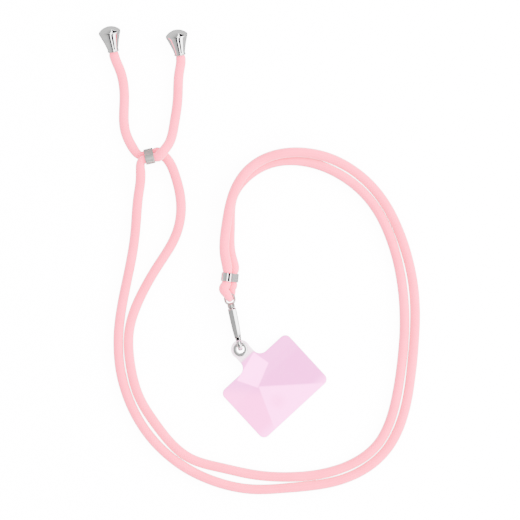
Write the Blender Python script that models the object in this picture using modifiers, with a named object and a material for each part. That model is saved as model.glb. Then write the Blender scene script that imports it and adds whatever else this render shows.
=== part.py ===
"""Phone crossbody strap, laid flat: one doubled cord with a capped end at each side, a ring that slides
along it, a ring crimped over its fold, and a swivel snap hook that holds the eyelet of a clear patch.

Metres, +Z up. The strap lies on z = 0. The origin is the middle of the patch's underside, +Y runs
towards the capped ends. The patch is the piece that a phone case traps behind its camera opening.
"""
import math

import bmesh
import bpy
import numpy as np
from mathutils import Matrix, Vector

CLEARANCE = 0.0003

# Cord, and how thin it is where something grips it
CORD_DIAMETER = 0.0068
CORD_GRIPPED = 0.0060
CORD_IN_EYE = 0.0044
CORD_IN_FOLD = 0.0061
CORD_FLARE = 0.0025
CORD_AT_BEND = 0.0058
FLARE_AT_BEND = 0.0015

# Rings that hold two strands, one lying half over the other
RING_WALL = 0.0007
SLIDER_LENGTH = 0.0065
FERRULE_LENGTH = 0.0061
SLIDER_CENTRE = (-0.0875, 0.1607)
SLIDER_HEADING = math.radians(13)
SLIDER_SLANT = math.radians(59)
FERRULE_CENTRE = (-0.0313, 0.0762)
FERRULE_HEADING = math.radians(-96.2)
FERRULE_SLANT = math.radians(48)

# Bell-shaped end caps, lying on their flared sides
CAP_RIM_DIAMETER = 0.0155
CAP_MOUTH_WALL = 0.0006
CAP_BODY_LENGTH = 0.0146
CAP_DOME_HEIGHT = 0.0036
CAP_SOCKET_DEPTH = 0.0100
CAP_LIP = 0.0002
LEFT_MOUTH = (-0.1127, 0.2339)
LEFT_HEADING = math.radians(100.8)
RIGHT_MOUTH = (-0.0661, 0.2315)
RIGHT_HEADING = math.radians(100.0)

# Patch with a tab, and the eyelet set in the tab
PATCH_LENGTH = 0.0624
PATCH_WIDTH = 0.0450
PATCH_THICKNESS = 0.0010
PATCH_CORNER = 0.0045
PATCH_TURN = math.radians(42.7)
NECK_WIDTH = 0.0127
NECK_FILLET = 0.0060
TAB_BULGE = 0.00035
TAB_END_RADIUS = NECK_WIDTH / 2 + TAB_BULGE
TAB_REACH = 0.0128
TAB_LIFT = 0.0046
LIFT_START = 0.0080
EYELET_DIAMETER = 0.0101
EYELET_HOLE = 0.0052
EYELET_TUBE_WALL = 0.0005
EYELET_FLANGE = 0.0005

# Swivel eye
EYE_WIRE = 0.0016
EYE_LENGTH = 0.0084
EYE_HEIGHT = 0.00715
NECK_LENGTH = 0.0024
SHOULDER_DIAMETER = 0.0052
PIN_DIAMETER = 0.0017
PIN_HEAD_DIAMETER = 0.0028
PIN_HEAD_LENGTH = 0.0008

# Snap hook, standing on its spine with the gate upward
HOOK_HEADING = math.radians(-78.05)
HOOK_DIP = math.radians(3.3)
HOOK_LENGTH = 0.0303
HOOK_BAR = 0.0026
HOOK_GAP = 0.0052
HOOK_WIDTH = 0.0058
HOOK_WIDTH_AT_BOW = 0.0034
TAPER_POWER = 3
COLLAR_LENGTH = 0.0026
EAR_THICKNESS = 0.0024
EAR_RADIUS = 0.0011
EAR_FOOT_RADIUS = 0.00055
PIVOT_REACH = 0.0051
PIVOT_DEPTH = 0.0022
PIVOT_DIAMETER = 0.0012
NOSE_LENGTH = 0.0017
GATE_HUB_RADIUS = 0.0019
GATE_TAIL_LENGTH = 0.0045
GATE_TAIL_HEIGHT = 0.0019
GATE_TONGUE_LENGTH = 0.0022
GATE_TONGUE_HEIGHT = 0.0013
GATE_TONGUE_WIDTH = 0.0026
EYELET_SEAT_GAP = 0.0009

# Shares, not lengths: reach in collar lengths, drop below the axis in bow radii
SPINE_ROOT_SHARES = [
    (0.42, 0.38), (1.0, 0.72), (1.73, 0.95), (2.7, 1.0),
]

# How the cord goes round the swivel eye's end: half the fold's height, and how far the
# strands have spread where they leave it
FOLD_HALF_HEIGHT = 0.0041
FOLD_SPREAD = 0.0040
FOLD_SIDE_BELOW = (0.0031, 0.0019, 0.0009)
FOLD_SIDE_ABOVE = (-0.0004, -0.0015, -0.0026)
CORD_ENTERING_EYE = 0.0050

# How finely things are cut into facets
TUBE_SIDES_LEVEL = 4
TURNED_STEPS = 28
ROUTE_SAMPLES = 12000
TUBE_POINTS_PER_METRE = 26.0
TUBE_POINTS_PER_BEND = 3.2

# The cord's route in millimetres. Stretches of one strand: x, y. Where the two strands run
# side by side: x and y of the middle, the strands' spacing, and how far the outer one rides up.
LEFT_END_ROUTE = [
    (-108.3, 221.3), (-105.1, 201.7), (-104.8, 180.0), (-99.4, 167.1),
]
INNER_START_ROUTE = [
    (-79.4, 162.6), (-74.4, 157.8), (-69.5, 147.1), (-65.5, 126.8), (-69.1, 105.8),
    (-81.3, 84.8), (-93.3, 63.8),
]
PAIR_ROUTE = [
    (-105.3, 39.3, 7.4, 0.0), (-104.6, 14.8, 7.4, 0.0), (-97.8, -9.7, 7.4, 0.0),
    (-87.0, -28.2, 8.4, 0.0), (-61.4, -53.1, 7.3, 0.0), (-37.6, -62.2, 10.6, 0.0),
    (-17.3, -66.5, 10.4, 0.0), (10.7, -67.0, 7.5, 0.0), (45.7, -61.5, 7.4, 0.0),
    (73.5, -44.1, 7.2, 0.0), (88.2, -11.1, 7.6, 0.0), (91.8, 11.3, 7.3, 0.0),
    (94.0, 35.0, 7.2, 0.0), (93.3, 67.3, 7.7, 0.0), (86.4, 98.8, 7.2, 0.0),
    (68.1, 133.9, 7.2, 0.0), (38.9, 155.4, 7.2, 0.8), (17.7, 160.5, 5.9, 4.3),
    (-4.7, 157.6, 4.4, 5.8), (-19.4, 148.2, 2.8, 6.8), (-29.2, 133.1, 0.3, 7.3),
    (-32.5, 112.8, 2.5, 7.0), (-32.2, 89.7, 4.6, 5.9),
]
OUTER_END_ROUTE = [
    (-103.2, 74.3), (-97.7, 105.8), (-95.2, 133.8), (-93.6, 149.8),
]
RIGHT_END_ROUTE = [
    (-78.3, 163.2), (-74.0, 169.2), (-70.3, 182.8), (-67.8, 201.7), (-66.7, 219.9),
]
OUTER_END_LIFT = [0.0, 0.3, 1.0, 4.4]
RIGHT_END_LIFT = [7.3, 5.0, 1.0, 0.0, 0.0]


def clear_scene():
    """Remove what the file starts with."""
    for old in list(bpy.data.objects):
        bpy.data.objects.remove(old, do_unlink=True)


def new_collection(name):
    """A collection of this name, linked to the scene."""
    collection = bpy.data.collections.new(name)
    bpy.context.scene.collection.children.link(collection)
    return collection


def make_material(name, colour, roughness, metallic):
    """A Principled material with one colour."""
    material = bpy.data.materials.new(name)
    material.use_nodes = True
    shader = material.node_tree.nodes["Principled BSDF"]
    shader.inputs["Base Color"].default_value = (*colour, 1.0)
    shader.inputs["Roughness"].default_value = roughness
    shader.inputs["Metallic"].default_value = metallic
    return material


def add_object(name, data, collection, material=None, matrix=None):
    """Link mesh or curve data as an object placed by a matrix."""
    obj = bpy.data.objects.new(name, data)
    collection.objects.link(obj)
    if material is not None:
        data.materials.append(material)
    if matrix is not None:
        obj.matrix_world = matrix
    return obj


def frame_matrix(origin, x_axis, y_axis, z_axis):
    """The matrix that carries local X, Y and Z to the three given directions."""
    turn = Matrix((x_axis, y_axis, z_axis)).transposed()
    return Matrix.Translation(origin) @ turn.to_4x4()


def flat_curve(name, outlines, thickness):
    """A filled 2D curve: the first outline is the edge, the others are holes."""
    curve = bpy.data.curves.new(name, "CURVE")
    curve.dimensions = "2D"
    curve.fill_mode = "BOTH"
    curve.extrude = thickness / 2
    for outline in outlines:
        spline = curve.splines.new("POLY")
        spline.points.add(len(outline) - 1)
        for point, (x, y) in zip(spline.points, outline):
            point.co = (x, y, 0.0, 1.0)
        spline.use_cyclic_u = True
    return curve


def curve_to_mesh(curve, collection):
    """The curve's shape as a closed mesh, with its caps welded on."""
    holder = add_object(curve.name + "_guide", curve, collection)
    depsgraph = bpy.context.evaluated_depsgraph_get()
    mesh = bpy.data.meshes.new_from_object(holder.evaluated_get(depsgraph))
    bpy.data.objects.remove(holder, do_unlink=True)
    shape = bmesh.new()
    shape.from_mesh(mesh)
    bmesh.ops.remove_doubles(shape, verts=shape.verts, dist=0.000002)
    bmesh.ops.recalc_face_normals(shape, faces=shape.faces)
    shape.to_mesh(mesh)
    shape.free()
    return mesh


def combine(target, others, operation):
    """Boolean each of the others into the target, and remove them."""
    for other in others:
        modifier = target.modifiers.new(operation.lower(), "BOOLEAN")
        modifier.operation = operation
        modifier.solver = "EXACT"
        modifier.object = other
        depsgraph = bpy.context.evaluated_depsgraph_get()
        mesh = bpy.data.meshes.new_from_object(target.evaluated_get(depsgraph))
        target.modifiers.clear()
        target.data = mesh
        bpy.data.objects.remove(other, do_unlink=True)
    return target


def box_object(name, low, high, collection, matrix):
    """A box between two corners of the given frame."""
    shape = bmesh.new()
    bmesh.ops.create_cube(shape, size=1.0)
    middle = (Vector(low) + Vector(high)) / 2
    size = Vector(high) - Vector(low)
    for vert in shape.verts:
        vert.co = Vector((vert.co.x * size.x, vert.co.y * size.y, vert.co.z * size.z)) + middle
    mesh = bpy.data.meshes.new(name)
    shape.to_mesh(mesh)
    shape.free()
    return add_object(name, mesh, collection, matrix=matrix)


def rod_object(name, start, end, radius, collection, matrix, steps=TURNED_STEPS):
    """A round rod between two points of the given frame."""
    start = Vector(start)
    end = Vector(end)
    shape = bmesh.new()
    bmesh.ops.create_cone(
        shape, cap_ends=True, segments=steps, radius1=radius, radius2=radius, depth=(end - start).length
    )
    turn = Vector((0, 0, 1)).rotation_difference(end - start).to_matrix().to_4x4()
    bmesh.ops.transform(shape, matrix=Matrix.Translation((start + end) / 2) @ turn, verts=shape.verts)
    mesh = bpy.data.meshes.new(name)
    shape.to_mesh(mesh)
    shape.free()
    return add_object(name, mesh, collection, matrix=matrix)


def turned_object(name, profile, collection, material, matrix, closed=False):
    """A solid of revolution about local Z from a profile of radius and height, top to bottom."""
    shape = bmesh.new()
    verts = [shape.verts.new((radius, 0.0, height)) for radius, height in profile]
    for first, second in zip(verts, verts[1:]):
        shape.edges.new((first, second))
    if closed:
        shape.edges.new((verts[-1], verts[0]))
    mesh = bpy.data.meshes.new(name)
    shape.to_mesh(mesh)
    shape.free()
    obj = add_object(name, mesh, collection, material, matrix)
    screw = obj.modifiers.new("turn", "SCREW")
    screw.axis = "Z"
    screw.steps = TURNED_STEPS
    screw.render_steps = TURNED_STEPS
    screw.use_merge_vertices = True
    screw.merge_threshold = 0.00001
    screw.use_normal_calculate = False
    return obj


def arc(centre, radius, start_degrees, end_degrees, steps):
    """Points on an arc, both ends included."""
    sweep = math.radians(end_degrees - start_degrees)
    angles = [math.radians(start_degrees) + sweep * i / steps for i in range(steps + 1)]
    return [(centre[0] + radius * math.cos(a), centre[1] + radius * math.sin(a)) for a in angles]


def stadium(half_spacing, radius, steps=10):
    """The outline round two circles that stand side by side."""
    right = arc((half_spacing, 0.0), radius, -90, 90, steps)
    left = arc((-half_spacing, 0.0), radius, 90, 270, steps)
    return right + left


class RingFrame:
    """Where a two-strand ring lies, and where the strands pass through it."""

    spacing = CORD_GRIPPED + CLEARANCE
    inner_radius = CORD_GRIPPED / 2 + CLEARANCE
    outer_radius = inner_radius + RING_WALL

    def __init__(self, centre, heading, slant, length):
        self.along = Vector((math.cos(heading), math.sin(heading), 0.0))
        right = Vector((math.sin(heading), -math.cos(heading), 0.0))
        self.across = right * math.cos(slant) + Vector((0, 0, 1)) * math.sin(slant)
        self.length = length
        height = self.outer_radius + self.spacing / 2 * math.sin(slant)
        self.centre = Vector((centre[0], centre[1], height))

    def matrix(self):
        """Local X runs from the lower strand to the upper one, local Z along the cord."""
        return frame_matrix(self.centre, self.across, self.along.cross(self.across), self.along)

    def strand(self, upper, reach):
        """A point on one strand's middle, this far along from the ring's centre."""
        side = 1 if upper else -1
        return self.centre + self.across * (side * self.spacing / 2) + self.along * reach

    def strand_rows(self, upper):
        """The route rows that carry one strand through the ring, the flares outside it included."""
        half = self.length / 2
        spread = self.across * ((CORD_DIAMETER - CORD_GRIPPED) / 2 * (1 if upper else -1))
        rows = []
        for reach, diameter in (
            (-half - CORD_FLARE, CORD_DIAMETER),
            (-half, CORD_GRIPPED),
            (0.0, CORD_GRIPPED),
            (half, CORD_GRIPPED),
            (half + CORD_FLARE, CORD_DIAMETER),
        ):
            point = self.strand(upper, reach)
            if diameter == CORD_DIAMETER:
                point = point + spread
            rows.append((point, diameter, reach != 0.0))
        return rows


class CapFrame:
    """Where an end cap lies: it rests on its rim and its mouth, so its axis climbs to the dome."""

    bore = CORD_GRIPPED + 2 * CLEARANCE
    mouth_radius = bore / 2 + CAP_MOUTH_WALL
    rim_radius = CAP_RIM_DIAMETER / 2

    def __init__(self, mouth, heading):
        tilt = math.atan2(self.rim_radius - self.mouth_radius, CAP_BODY_LENGTH)
        flat = Vector((math.cos(heading), math.sin(heading), 0.0))
        self.axis = flat * math.cos(tilt) + Vector((0, 0, 1)) * math.sin(tilt)
        self.mouth = Vector((mouth[0], mouth[1], (self.mouth_radius + CAP_LIP) * math.cos(tilt)))
        self.side = Vector((0, 0, 1)).cross(self.axis).normalized()

    def matrix(self):
        """Local Z runs from the mouth to the dome."""
        return frame_matrix(self.mouth, self.axis.cross(self.side) * -1, self.side * -1, self.axis)

    def cord_rows(self):
        """Route rows from the cord's end in the socket to just outside the mouth."""
        end = self.mouth + self.axis * (CAP_SOCKET_DEPTH - CLEARANCE)
        outside = self.mouth - self.axis * CORD_FLARE
        outside.z = max(outside.z, CORD_DIAMETER / 2) + CLEARANCE
        return [
            (end, CORD_GRIPPED, True),
            (self.mouth.copy(), CORD_GRIPPED, True),
            (outside, CORD_DIAMETER, True),
        ]


class HookFrame:
    """The swivel axis: local X runs from the eye towards the patch, local Z upward across the hook."""

    bow_radius = (HOOK_GAP + HOOK_BAR) / 2
    bow_centre = HOOK_LENGTH - HOOK_BAR / 2 - bow_radius
    nose_tip = bow_centre - NOSE_LENGTH
    tongue_tip = nose_tip - 2 * CLEARANCE
    gate_step = tongue_tip - GATE_TONGUE_LENGTH
    pivot_height = HOOK_GAP / 2 + HOOK_BAR - PIVOT_DEPTH
    eye_width = CORD_IN_EYE + 2 * CLEARANCE + 2 * EYE_WIRE
    eye_centre = -NECK_LENGTH - EYE_LENGTH / 2

    def __init__(self, eyelet):
        heading = Vector((math.cos(HOOK_HEADING), math.sin(HOOK_HEADING), 0.0))
        self.x_axis = heading * math.cos(HOOK_DIP) - Vector((0, 0, 1)) * math.sin(HOOK_DIP)
        self.y_axis = Vector((0, 0, 1)).cross(heading)
        self.z_axis = self.x_axis.cross(self.y_axis)
        reach = HOOK_LENGTH - EYELET_SEAT_GAP
        origin = Vector((eyelet.x, eyelet.y, 0.0)) - heading * reach
        origin.z = EYE_HEIGHT + self.eye_centre * math.sin(HOOK_DIP)
        self.origin = origin

    def matrix(self):
        return frame_matrix(self.origin, self.x_axis, self.y_axis, self.z_axis)

    def point(self, reach, side=0.0, height=0.0):
        """World place of a point given along, beside and above the axis."""
        return self.origin + self.x_axis * reach + self.y_axis * side + self.z_axis * height


def patch_point(x, reach, height=0.0):
    """World place of a point of the patch: x along its long side, reach towards the tab."""
    return Vector((
        x * math.cos(PATCH_TURN) - reach * math.sin(PATCH_TURN),
        x * math.sin(PATCH_TURN) + reach * math.cos(PATCH_TURN),
        height,
    ))


EYELET_REACH = PATCH_WIDTH / 2 + TAB_REACH
EYELET_CENTRE = patch_point(0.0, EYELET_REACH, TAB_LIFT + PATCH_THICKNESS / 2)
LIFT_END = EYELET_REACH - EYELET_DIAMETER / 2 - 2 * CLEARANCE
SLIDER = RingFrame(SLIDER_CENTRE, SLIDER_HEADING, SLIDER_SLANT, SLIDER_LENGTH)
FERRULE = RingFrame(FERRULE_CENTRE, FERRULE_HEADING, FERRULE_SLANT, FERRULE_LENGTH)
LEFT_CAP = CapFrame(LEFT_MOUTH, LEFT_HEADING)
RIGHT_CAP = CapFrame(RIGHT_MOUTH, RIGHT_HEADING)
HOOK = HookFrame(EYELET_CENTRE)


def strand_row(x, y, lift=0.0):
    """A free route row from millimetres, lying on the floor or lifted off it."""
    return (Vector((x / 1000, y / 1000, CORD_DIAMETER / 2 + lift / 1000)), CORD_DIAMETER, False)


def pair_rows():
    """The inner and the outer strand's rows, set off to either side of the pair's middle line."""
    middles = [Vector((x, y, 0.0)) for x, y, spacing, lift in PAIR_ROUTE]
    inner = []
    outer = []
    for index, (x, y, spacing, lift) in enumerate(PAIR_ROUTE):
        before = middles[max(index - 1, 0)]
        after = middles[min(index + 1, len(middles) - 1)]
        here = middles[index]
        ahead = (here - before).normalized() + (after - here).normalized()
        outward = Vector((ahead.y, -ahead.x, 0.0)).normalized() * (spacing / 2)
        inner.append(strand_row(x - outward.x, y - outward.y))
        outer.append(strand_row(x + outward.x, y + outward.y, lift))
    return inner, outer


def slider_rows(upper):
    """One strand's rows in the slider. It bends just outside the left mouth, so its flare is short there."""
    outside = SLIDER.strand(upper, -SLIDER.length / 2 - FLARE_AT_BEND)
    return [(outside, CORD_AT_BEND, True)] + SLIDER.strand_rows(upper)[1:]


def fold_rows():
    """The fold through the swivel eye: under the eye, up through it, and back over it."""
    centre = HOOK.eye_centre
    back = centre - FOLD_HALF_HEIGHT
    behind = back - FOLD_SPREAD
    diagonal = FOLD_HALF_HEIGHT * math.cos(math.radians(45))
    crown = EYE_HEIGHT + FOLD_HALF_HEIGHT
    leaving = EYE_HEIGHT + FOLD_HALF_HEIGHT * 0.75
    lower_far, lower_near, lower_in = FOLD_SIDE_BELOW
    upper_in, upper_near, upper_far = FOLD_SIDE_ABOVE
    rows = [
        (behind, lower_far, CORD_DIAMETER, CORD_DIAMETER / 2),
        (back, lower_near, CORD_IN_FOLD, CORD_IN_FOLD / 2),
        (back + diagonal, lower_in, CORD_ENTERING_EYE, EYE_HEIGHT - diagonal),
        (centre, 0.0, CORD_IN_EYE, EYE_HEIGHT),
        (back + diagonal, upper_in, CORD_ENTERING_EYE, EYE_HEIGHT + diagonal),
        (back, upper_near, CORD_IN_FOLD, crown),
        (behind, upper_far, CORD_DIAMETER, leaving),
    ]
    points = []
    for reach, side, diameter, height in rows:
        flat = HOOK.point(reach, side)
        points.append((Vector((flat.x, flat.y, height)), diameter, True))
    return points


def route_rows():
    """Every row of the cord's route, from the left cap's socket to the right cap's."""
    inner, outer = pair_rows()
    rows = LEFT_CAP.cord_rows()
    rows += [strand_row(x, y) for x, y in LEFT_END_ROUTE]
    rows += slider_rows(upper=False)
    rows += [strand_row(x, y) for x, y in INNER_START_ROUTE]
    rows += inner
    rows += FERRULE.strand_rows(upper=False)
    rows += fold_rows()
    rows += FERRULE.strand_rows(upper=True)[::-1]
    rows += outer[::-1]
    rows += [strand_row(x, y, lift) for (x, y), lift in zip(OUTER_END_ROUTE, OUTER_END_LIFT)]
    rows += slider_rows(upper=True)
    rows += [strand_row(x, y, lift) for (x, y), lift in zip(RIGHT_END_ROUTE, RIGHT_END_LIFT)]
    rows += RIGHT_CAP.cord_rows()[::-1]
    return rows


def spline_through(points, samples):
    """A natural cubic spline through the points: places, and where along it each point sits."""
    knots = np.concatenate([[0.0], np.cumsum(np.linalg.norm(np.diff(points, axis=0), axis=1))])
    steps = np.diff(knots)
    count = len(points)
    matrix = np.eye(count)
    right = np.zeros_like(points)
    rows = np.arange(1, count - 1)
    matrix[rows, rows - 1] = steps[:-1]
    matrix[rows, rows] = 2 * (steps[:-1] + steps[1:])
    matrix[rows, rows + 1] = steps[1:]
    slopes = np.diff(points, axis=0) / steps[:, None]
    right[1:-1] = 6 * np.diff(slopes, axis=0)
    bends = np.linalg.solve(matrix, right)
    at = np.linspace(0.0, knots[-1], samples)
    span = np.clip(np.searchsorted(knots, at, side="right") - 1, 0, count - 2)
    h = steps[span][:, None]
    a = (knots[span + 1] - at)[:, None] / h
    b = (at - knots[span])[:, None] / h
    places = a * points[span] + b * points[span + 1]
    places += ((a ** 3 - a) * bends[span] + (b ** 3 - b) * bends[span + 1]) * h * h / 6
    return places, at, knots


def tube_points():
    """Points for the cord's tube, closer together where it bends, and one on every held row."""
    rows = route_rows()
    points = np.array([row[0][:] for row in rows])
    places, at, knots = spline_through(points, ROUTE_SAMPLES)
    length = np.concatenate([[0.0], np.cumsum(np.linalg.norm(np.diff(places, axis=0), axis=1))])
    directions = np.gradient(places, length, axis=0)
    curvature = np.linalg.norm(np.gradient(directions, length, axis=0), axis=1)
    curvature = np.clip(curvature, 0.0, 1 / CORD_DIAMETER)
    wanted = TUBE_POINTS_PER_METRE + TUBE_POINTS_PER_BEND * np.sqrt(curvature[1:])
    density = np.concatenate([[0.0], np.cumsum(np.diff(length) * wanted)])
    row_density = np.interp(knots, at, density)
    row_length = np.interp(knots, at, length)
    diameters = np.array([row[1] for row in rows])
    held = [index for index, row in enumerate(rows) if row[2]]
    chosen = []
    for first, second in zip(held, held[1:]):
        spans = max(1, round(row_density[second] - row_density[first]))
        chosen += list(np.linspace(row_density[first], row_density[second], spans + 1)[:-1])
    chosen.append(row_density[held[-1]])
    where = np.interp(chosen, density, length)
    middle = np.stack([np.interp(where, length, places[:, axis]) for axis in range(3)], axis=1)
    thickness = np.interp(where, row_length, diameters)
    middle[:, 2] = np.maximum(middle[:, 2], thickness / 2)
    return middle, thickness


def make_cord(collection, material):
    """The cord as one tube with filled ends, thinner where it is gripped."""
    middle, diameters = tube_points()
    curve = bpy.data.curves.new("cord", "CURVE")
    curve.dimensions = "3D"
    curve.bevel_depth = CORD_DIAMETER / 2
    curve.bevel_resolution = TUBE_SIDES_LEVEL
    curve.render_resolution_u = 0
    curve.use_fill_caps = True
    spline = curve.splines.new("POLY")
    spline.points.add(len(middle) - 1)
    for point, place, diameter in zip(spline.points, middle, diameters):
        point.co = (*place, 1.0)
        point.radius = diameter / CORD_DIAMETER
    return add_object("cord", curve, collection, material)


def make_ring(name, ring, collection, material):
    """A closed band round two strands: the outline of both, thickened outward."""
    outlines = [stadium(ring.spacing / 2, ring.outer_radius), stadium(ring.spacing / 2, ring.inner_radius)]
    return add_object(name, flat_curve(name, outlines, ring.length), collection, material, ring.matrix())


def make_cap(name, cap, collection, material):
    """A bell: a shallow dome, a rounded rim, a flared side and a lipped mouth round a blind socket."""
    rim_round = 0.0005
    dome_radius = (cap.rim_radius ** 2 + CAP_DOME_HEIGHT ** 2) / (2 * CAP_DOME_HEIGHT)
    dome_centre = CAP_BODY_LENGTH + CAP_DOME_HEIGHT - dome_radius
    edge_angle = math.degrees(math.acos((cap.rim_radius - rim_round) / dome_radius))
    profile = arc((0.0, dome_centre), dome_radius, 90, edge_angle, 5)
    profile[0] = (0.0, dome_centre + dome_radius)
    profile.append((cap.rim_radius, CAP_BODY_LENGTH - rim_round))
    profile.append((cap.mouth_radius, 4 * CAP_LIP))
    profile.append((cap.mouth_radius + CAP_LIP, 2 * CAP_LIP))
    profile.append((cap.mouth_radius + CAP_LIP, 0.0))
    profile.append((cap.bore / 2, 0.0))
    profile.append((cap.bore / 2, CAP_SOCKET_DEPTH))
    profile.append((0.0, CAP_SOCKET_DEPTH))
    return turned_object(name, profile, collection, material, cap.matrix())


def rounded_corner(corner, radius, start_degrees, steps=5):
    """A quarter round inside a square corner, turning left from the start angle."""
    x = corner[0] - radius * math.copysign(1, corner[0])
    y = corner[1] - radius * math.copysign(1, corner[1])
    return arc((x, y), radius, start_degrees, start_degrees + 90, steps)


def patch_outline():
    """The patch's edge: a rounded rectangle with a round-ended tab on one long side."""
    half_length = PATCH_LENGTH / 2
    half_width = PATCH_WIDTH / 2
    half_neck = NECK_WIDTH / 2
    outline = rounded_corner((half_length, -half_width), PATCH_CORNER, -90)
    outline += rounded_corner((half_length, half_width), PATCH_CORNER, 0)
    outline += arc((half_neck + NECK_FILLET, half_width + NECK_FILLET), NECK_FILLET, 270, 180, 6)
    spread = math.degrees(math.asin(half_neck / TAB_END_RADIUS))
    outline += arc((0.0, EYELET_REACH), TAB_END_RADIUS, spread - 90, 270 - spread, 18)
    outline += arc((-half_neck - NECK_FILLET, half_width + NECK_FILLET), NECK_FILLET, 0, -90, 6)
    outline += rounded_corner((-half_length, half_width), PATCH_CORNER, 90)
    outline += rounded_corner((-half_length, -half_width), PATCH_CORNER, 180)
    return outline


def lift_at(reach):
    """How far the patch has risen off the floor, this far towards the tab: flat, a slope, flat again."""
    share = min(max((reach - LIFT_START) / (LIFT_END - LIFT_START), 0.0), 1.0)
    return TAB_LIFT * share * share * (3 - 2 * share)


def make_patch(collection, material):
    """The patch, cut out flat and then bent up where the hook passes under its tab."""
    hole_radius = EYELET_HOLE / 2 + EYELET_TUBE_WALL + CLEARANCE
    hole = arc((0.0, EYELET_REACH), hole_radius, 0, 360, 20)[:-1]
    curve = flat_curve("patch", [patch_outline(), hole], PATCH_THICKNESS)
    mesh = curve_to_mesh(curve, collection)
    shape = bmesh.new()
    shape.from_mesh(mesh)
    cuts = 9
    for index in range(cuts + 1):
        reach = LIFT_START + (LIFT_END - LIFT_START) * index / cuts
        geometry = list(shape.verts) + list(shape.edges) + list(shape.faces)
        bmesh.ops.bisect_plane(
            shape, geom=geometry, dist=0.00001, plane_co=(0, reach, 0), plane_no=(0, 1, 0)
        )
    for vert in shape.verts:
        vert.co.z += PATCH_THICKNESS / 2 + lift_at(vert.co.y)
    shape.to_mesh(mesh)
    shape.free()
    return add_object("patch", mesh, collection, material, Matrix.Rotation(PATCH_TURN, 4, "Z"))


def make_eyelet(collection, material):
    """A rolled eyelet: a short tube with a round-edged flange over each face of the tab."""
    inner = EYELET_HOLE / 2
    tube = inner + EYELET_TUBE_WALL
    outer = EYELET_DIAMETER / 2
    slot = PATCH_THICKNESS / 2 + CLEARANCE - 0.00005
    top = slot + EYELET_FLANGE
    edge = EYELET_FLANGE / 2
    profile = [
        (inner + edge, top), (outer - edge, top), (outer, top - edge), (outer, slot), (tube, slot),
        (tube, -slot), (outer, -slot), (outer, edge - top), (outer - edge, -top), (inner + edge, -top),
        (inner, 1.6 * edge - top), (inner, top - 1.6 * edge),
    ]
    place = Matrix.Translation(EYELET_CENTRE)
    return turned_object("eyelet", profile, collection, material, place, closed=True)


def make_swivel_eye(collection, guides, material):
    """An oval wire loop, a shoulder that meets the collar, and a pin with a head inside the hook."""
    matrix = HOOK.matrix()
    middle = HOOK.eye_centre
    across = (HOOK.eye_width - EYE_WIRE) / 2
    long_half = (EYE_LENGTH - EYE_WIRE) / 2
    curve = bpy.data.curves.new("swivel_eye", "CURVE")
    curve.dimensions = "3D"
    curve.bevel_depth = EYE_WIRE / 2
    curve.bevel_resolution = 2
    spline = curve.splines.new("POLY")
    steps = 28
    squareness = 0.8
    spline.points.add(steps - 1)
    for index, point in enumerate(spline.points):
        angle = 2 * math.pi * index / steps
        along = math.copysign(abs(math.cos(angle)) ** squareness, math.cos(angle))
        beside = math.copysign(abs(math.sin(angle)) ** squareness, math.sin(angle))
        point.co = (middle + long_half * along, across * beside, 0.0, 1.0)
    spline.use_cyclic_u = True
    eye = add_object("swivel_eye", curve_to_mesh(curve, guides), collection, material, matrix)
    wire_end = -NECK_LENGTH - EYE_WIRE / 2
    shoulder = rod_object(
        "shoulder", (wire_end, 0, 0), (-CLEARANCE, 0, 0), SHOULDER_DIAMETER / 2, guides, matrix, 16
    )
    head_start = COLLAR_LENGTH + CLEARANCE
    head_end = head_start + PIN_HEAD_LENGTH
    pin = rod_object(
        "pin", (-NECK_LENGTH / 2, 0, 0), (head_end - PIN_HEAD_LENGTH / 2, 0, 0),
        PIN_DIAMETER / 2, guides, matrix, 12,
    )
    head = rod_object(
        "pin_head", (head_start, 0, 0), (head_end, 0, 0), PIN_HEAD_DIAMETER / 2, guides, matrix, 16
    )
    return combine(eye, [shoulder, pin, head], "UNION")


def hook_width_at(reach):
    """The hook's width across: nearly even from the collar on, then narrowing towards the bow."""
    share = min(max((reach - COLLAR_LENGTH) / (HOOK.bow_centre - COLLAR_LENGTH), 0.0), 1.0)
    return HOOK_WIDTH + (HOOK_WIDTH_AT_BOW - HOOK_WIDTH) * share ** TAPER_POWER


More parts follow.
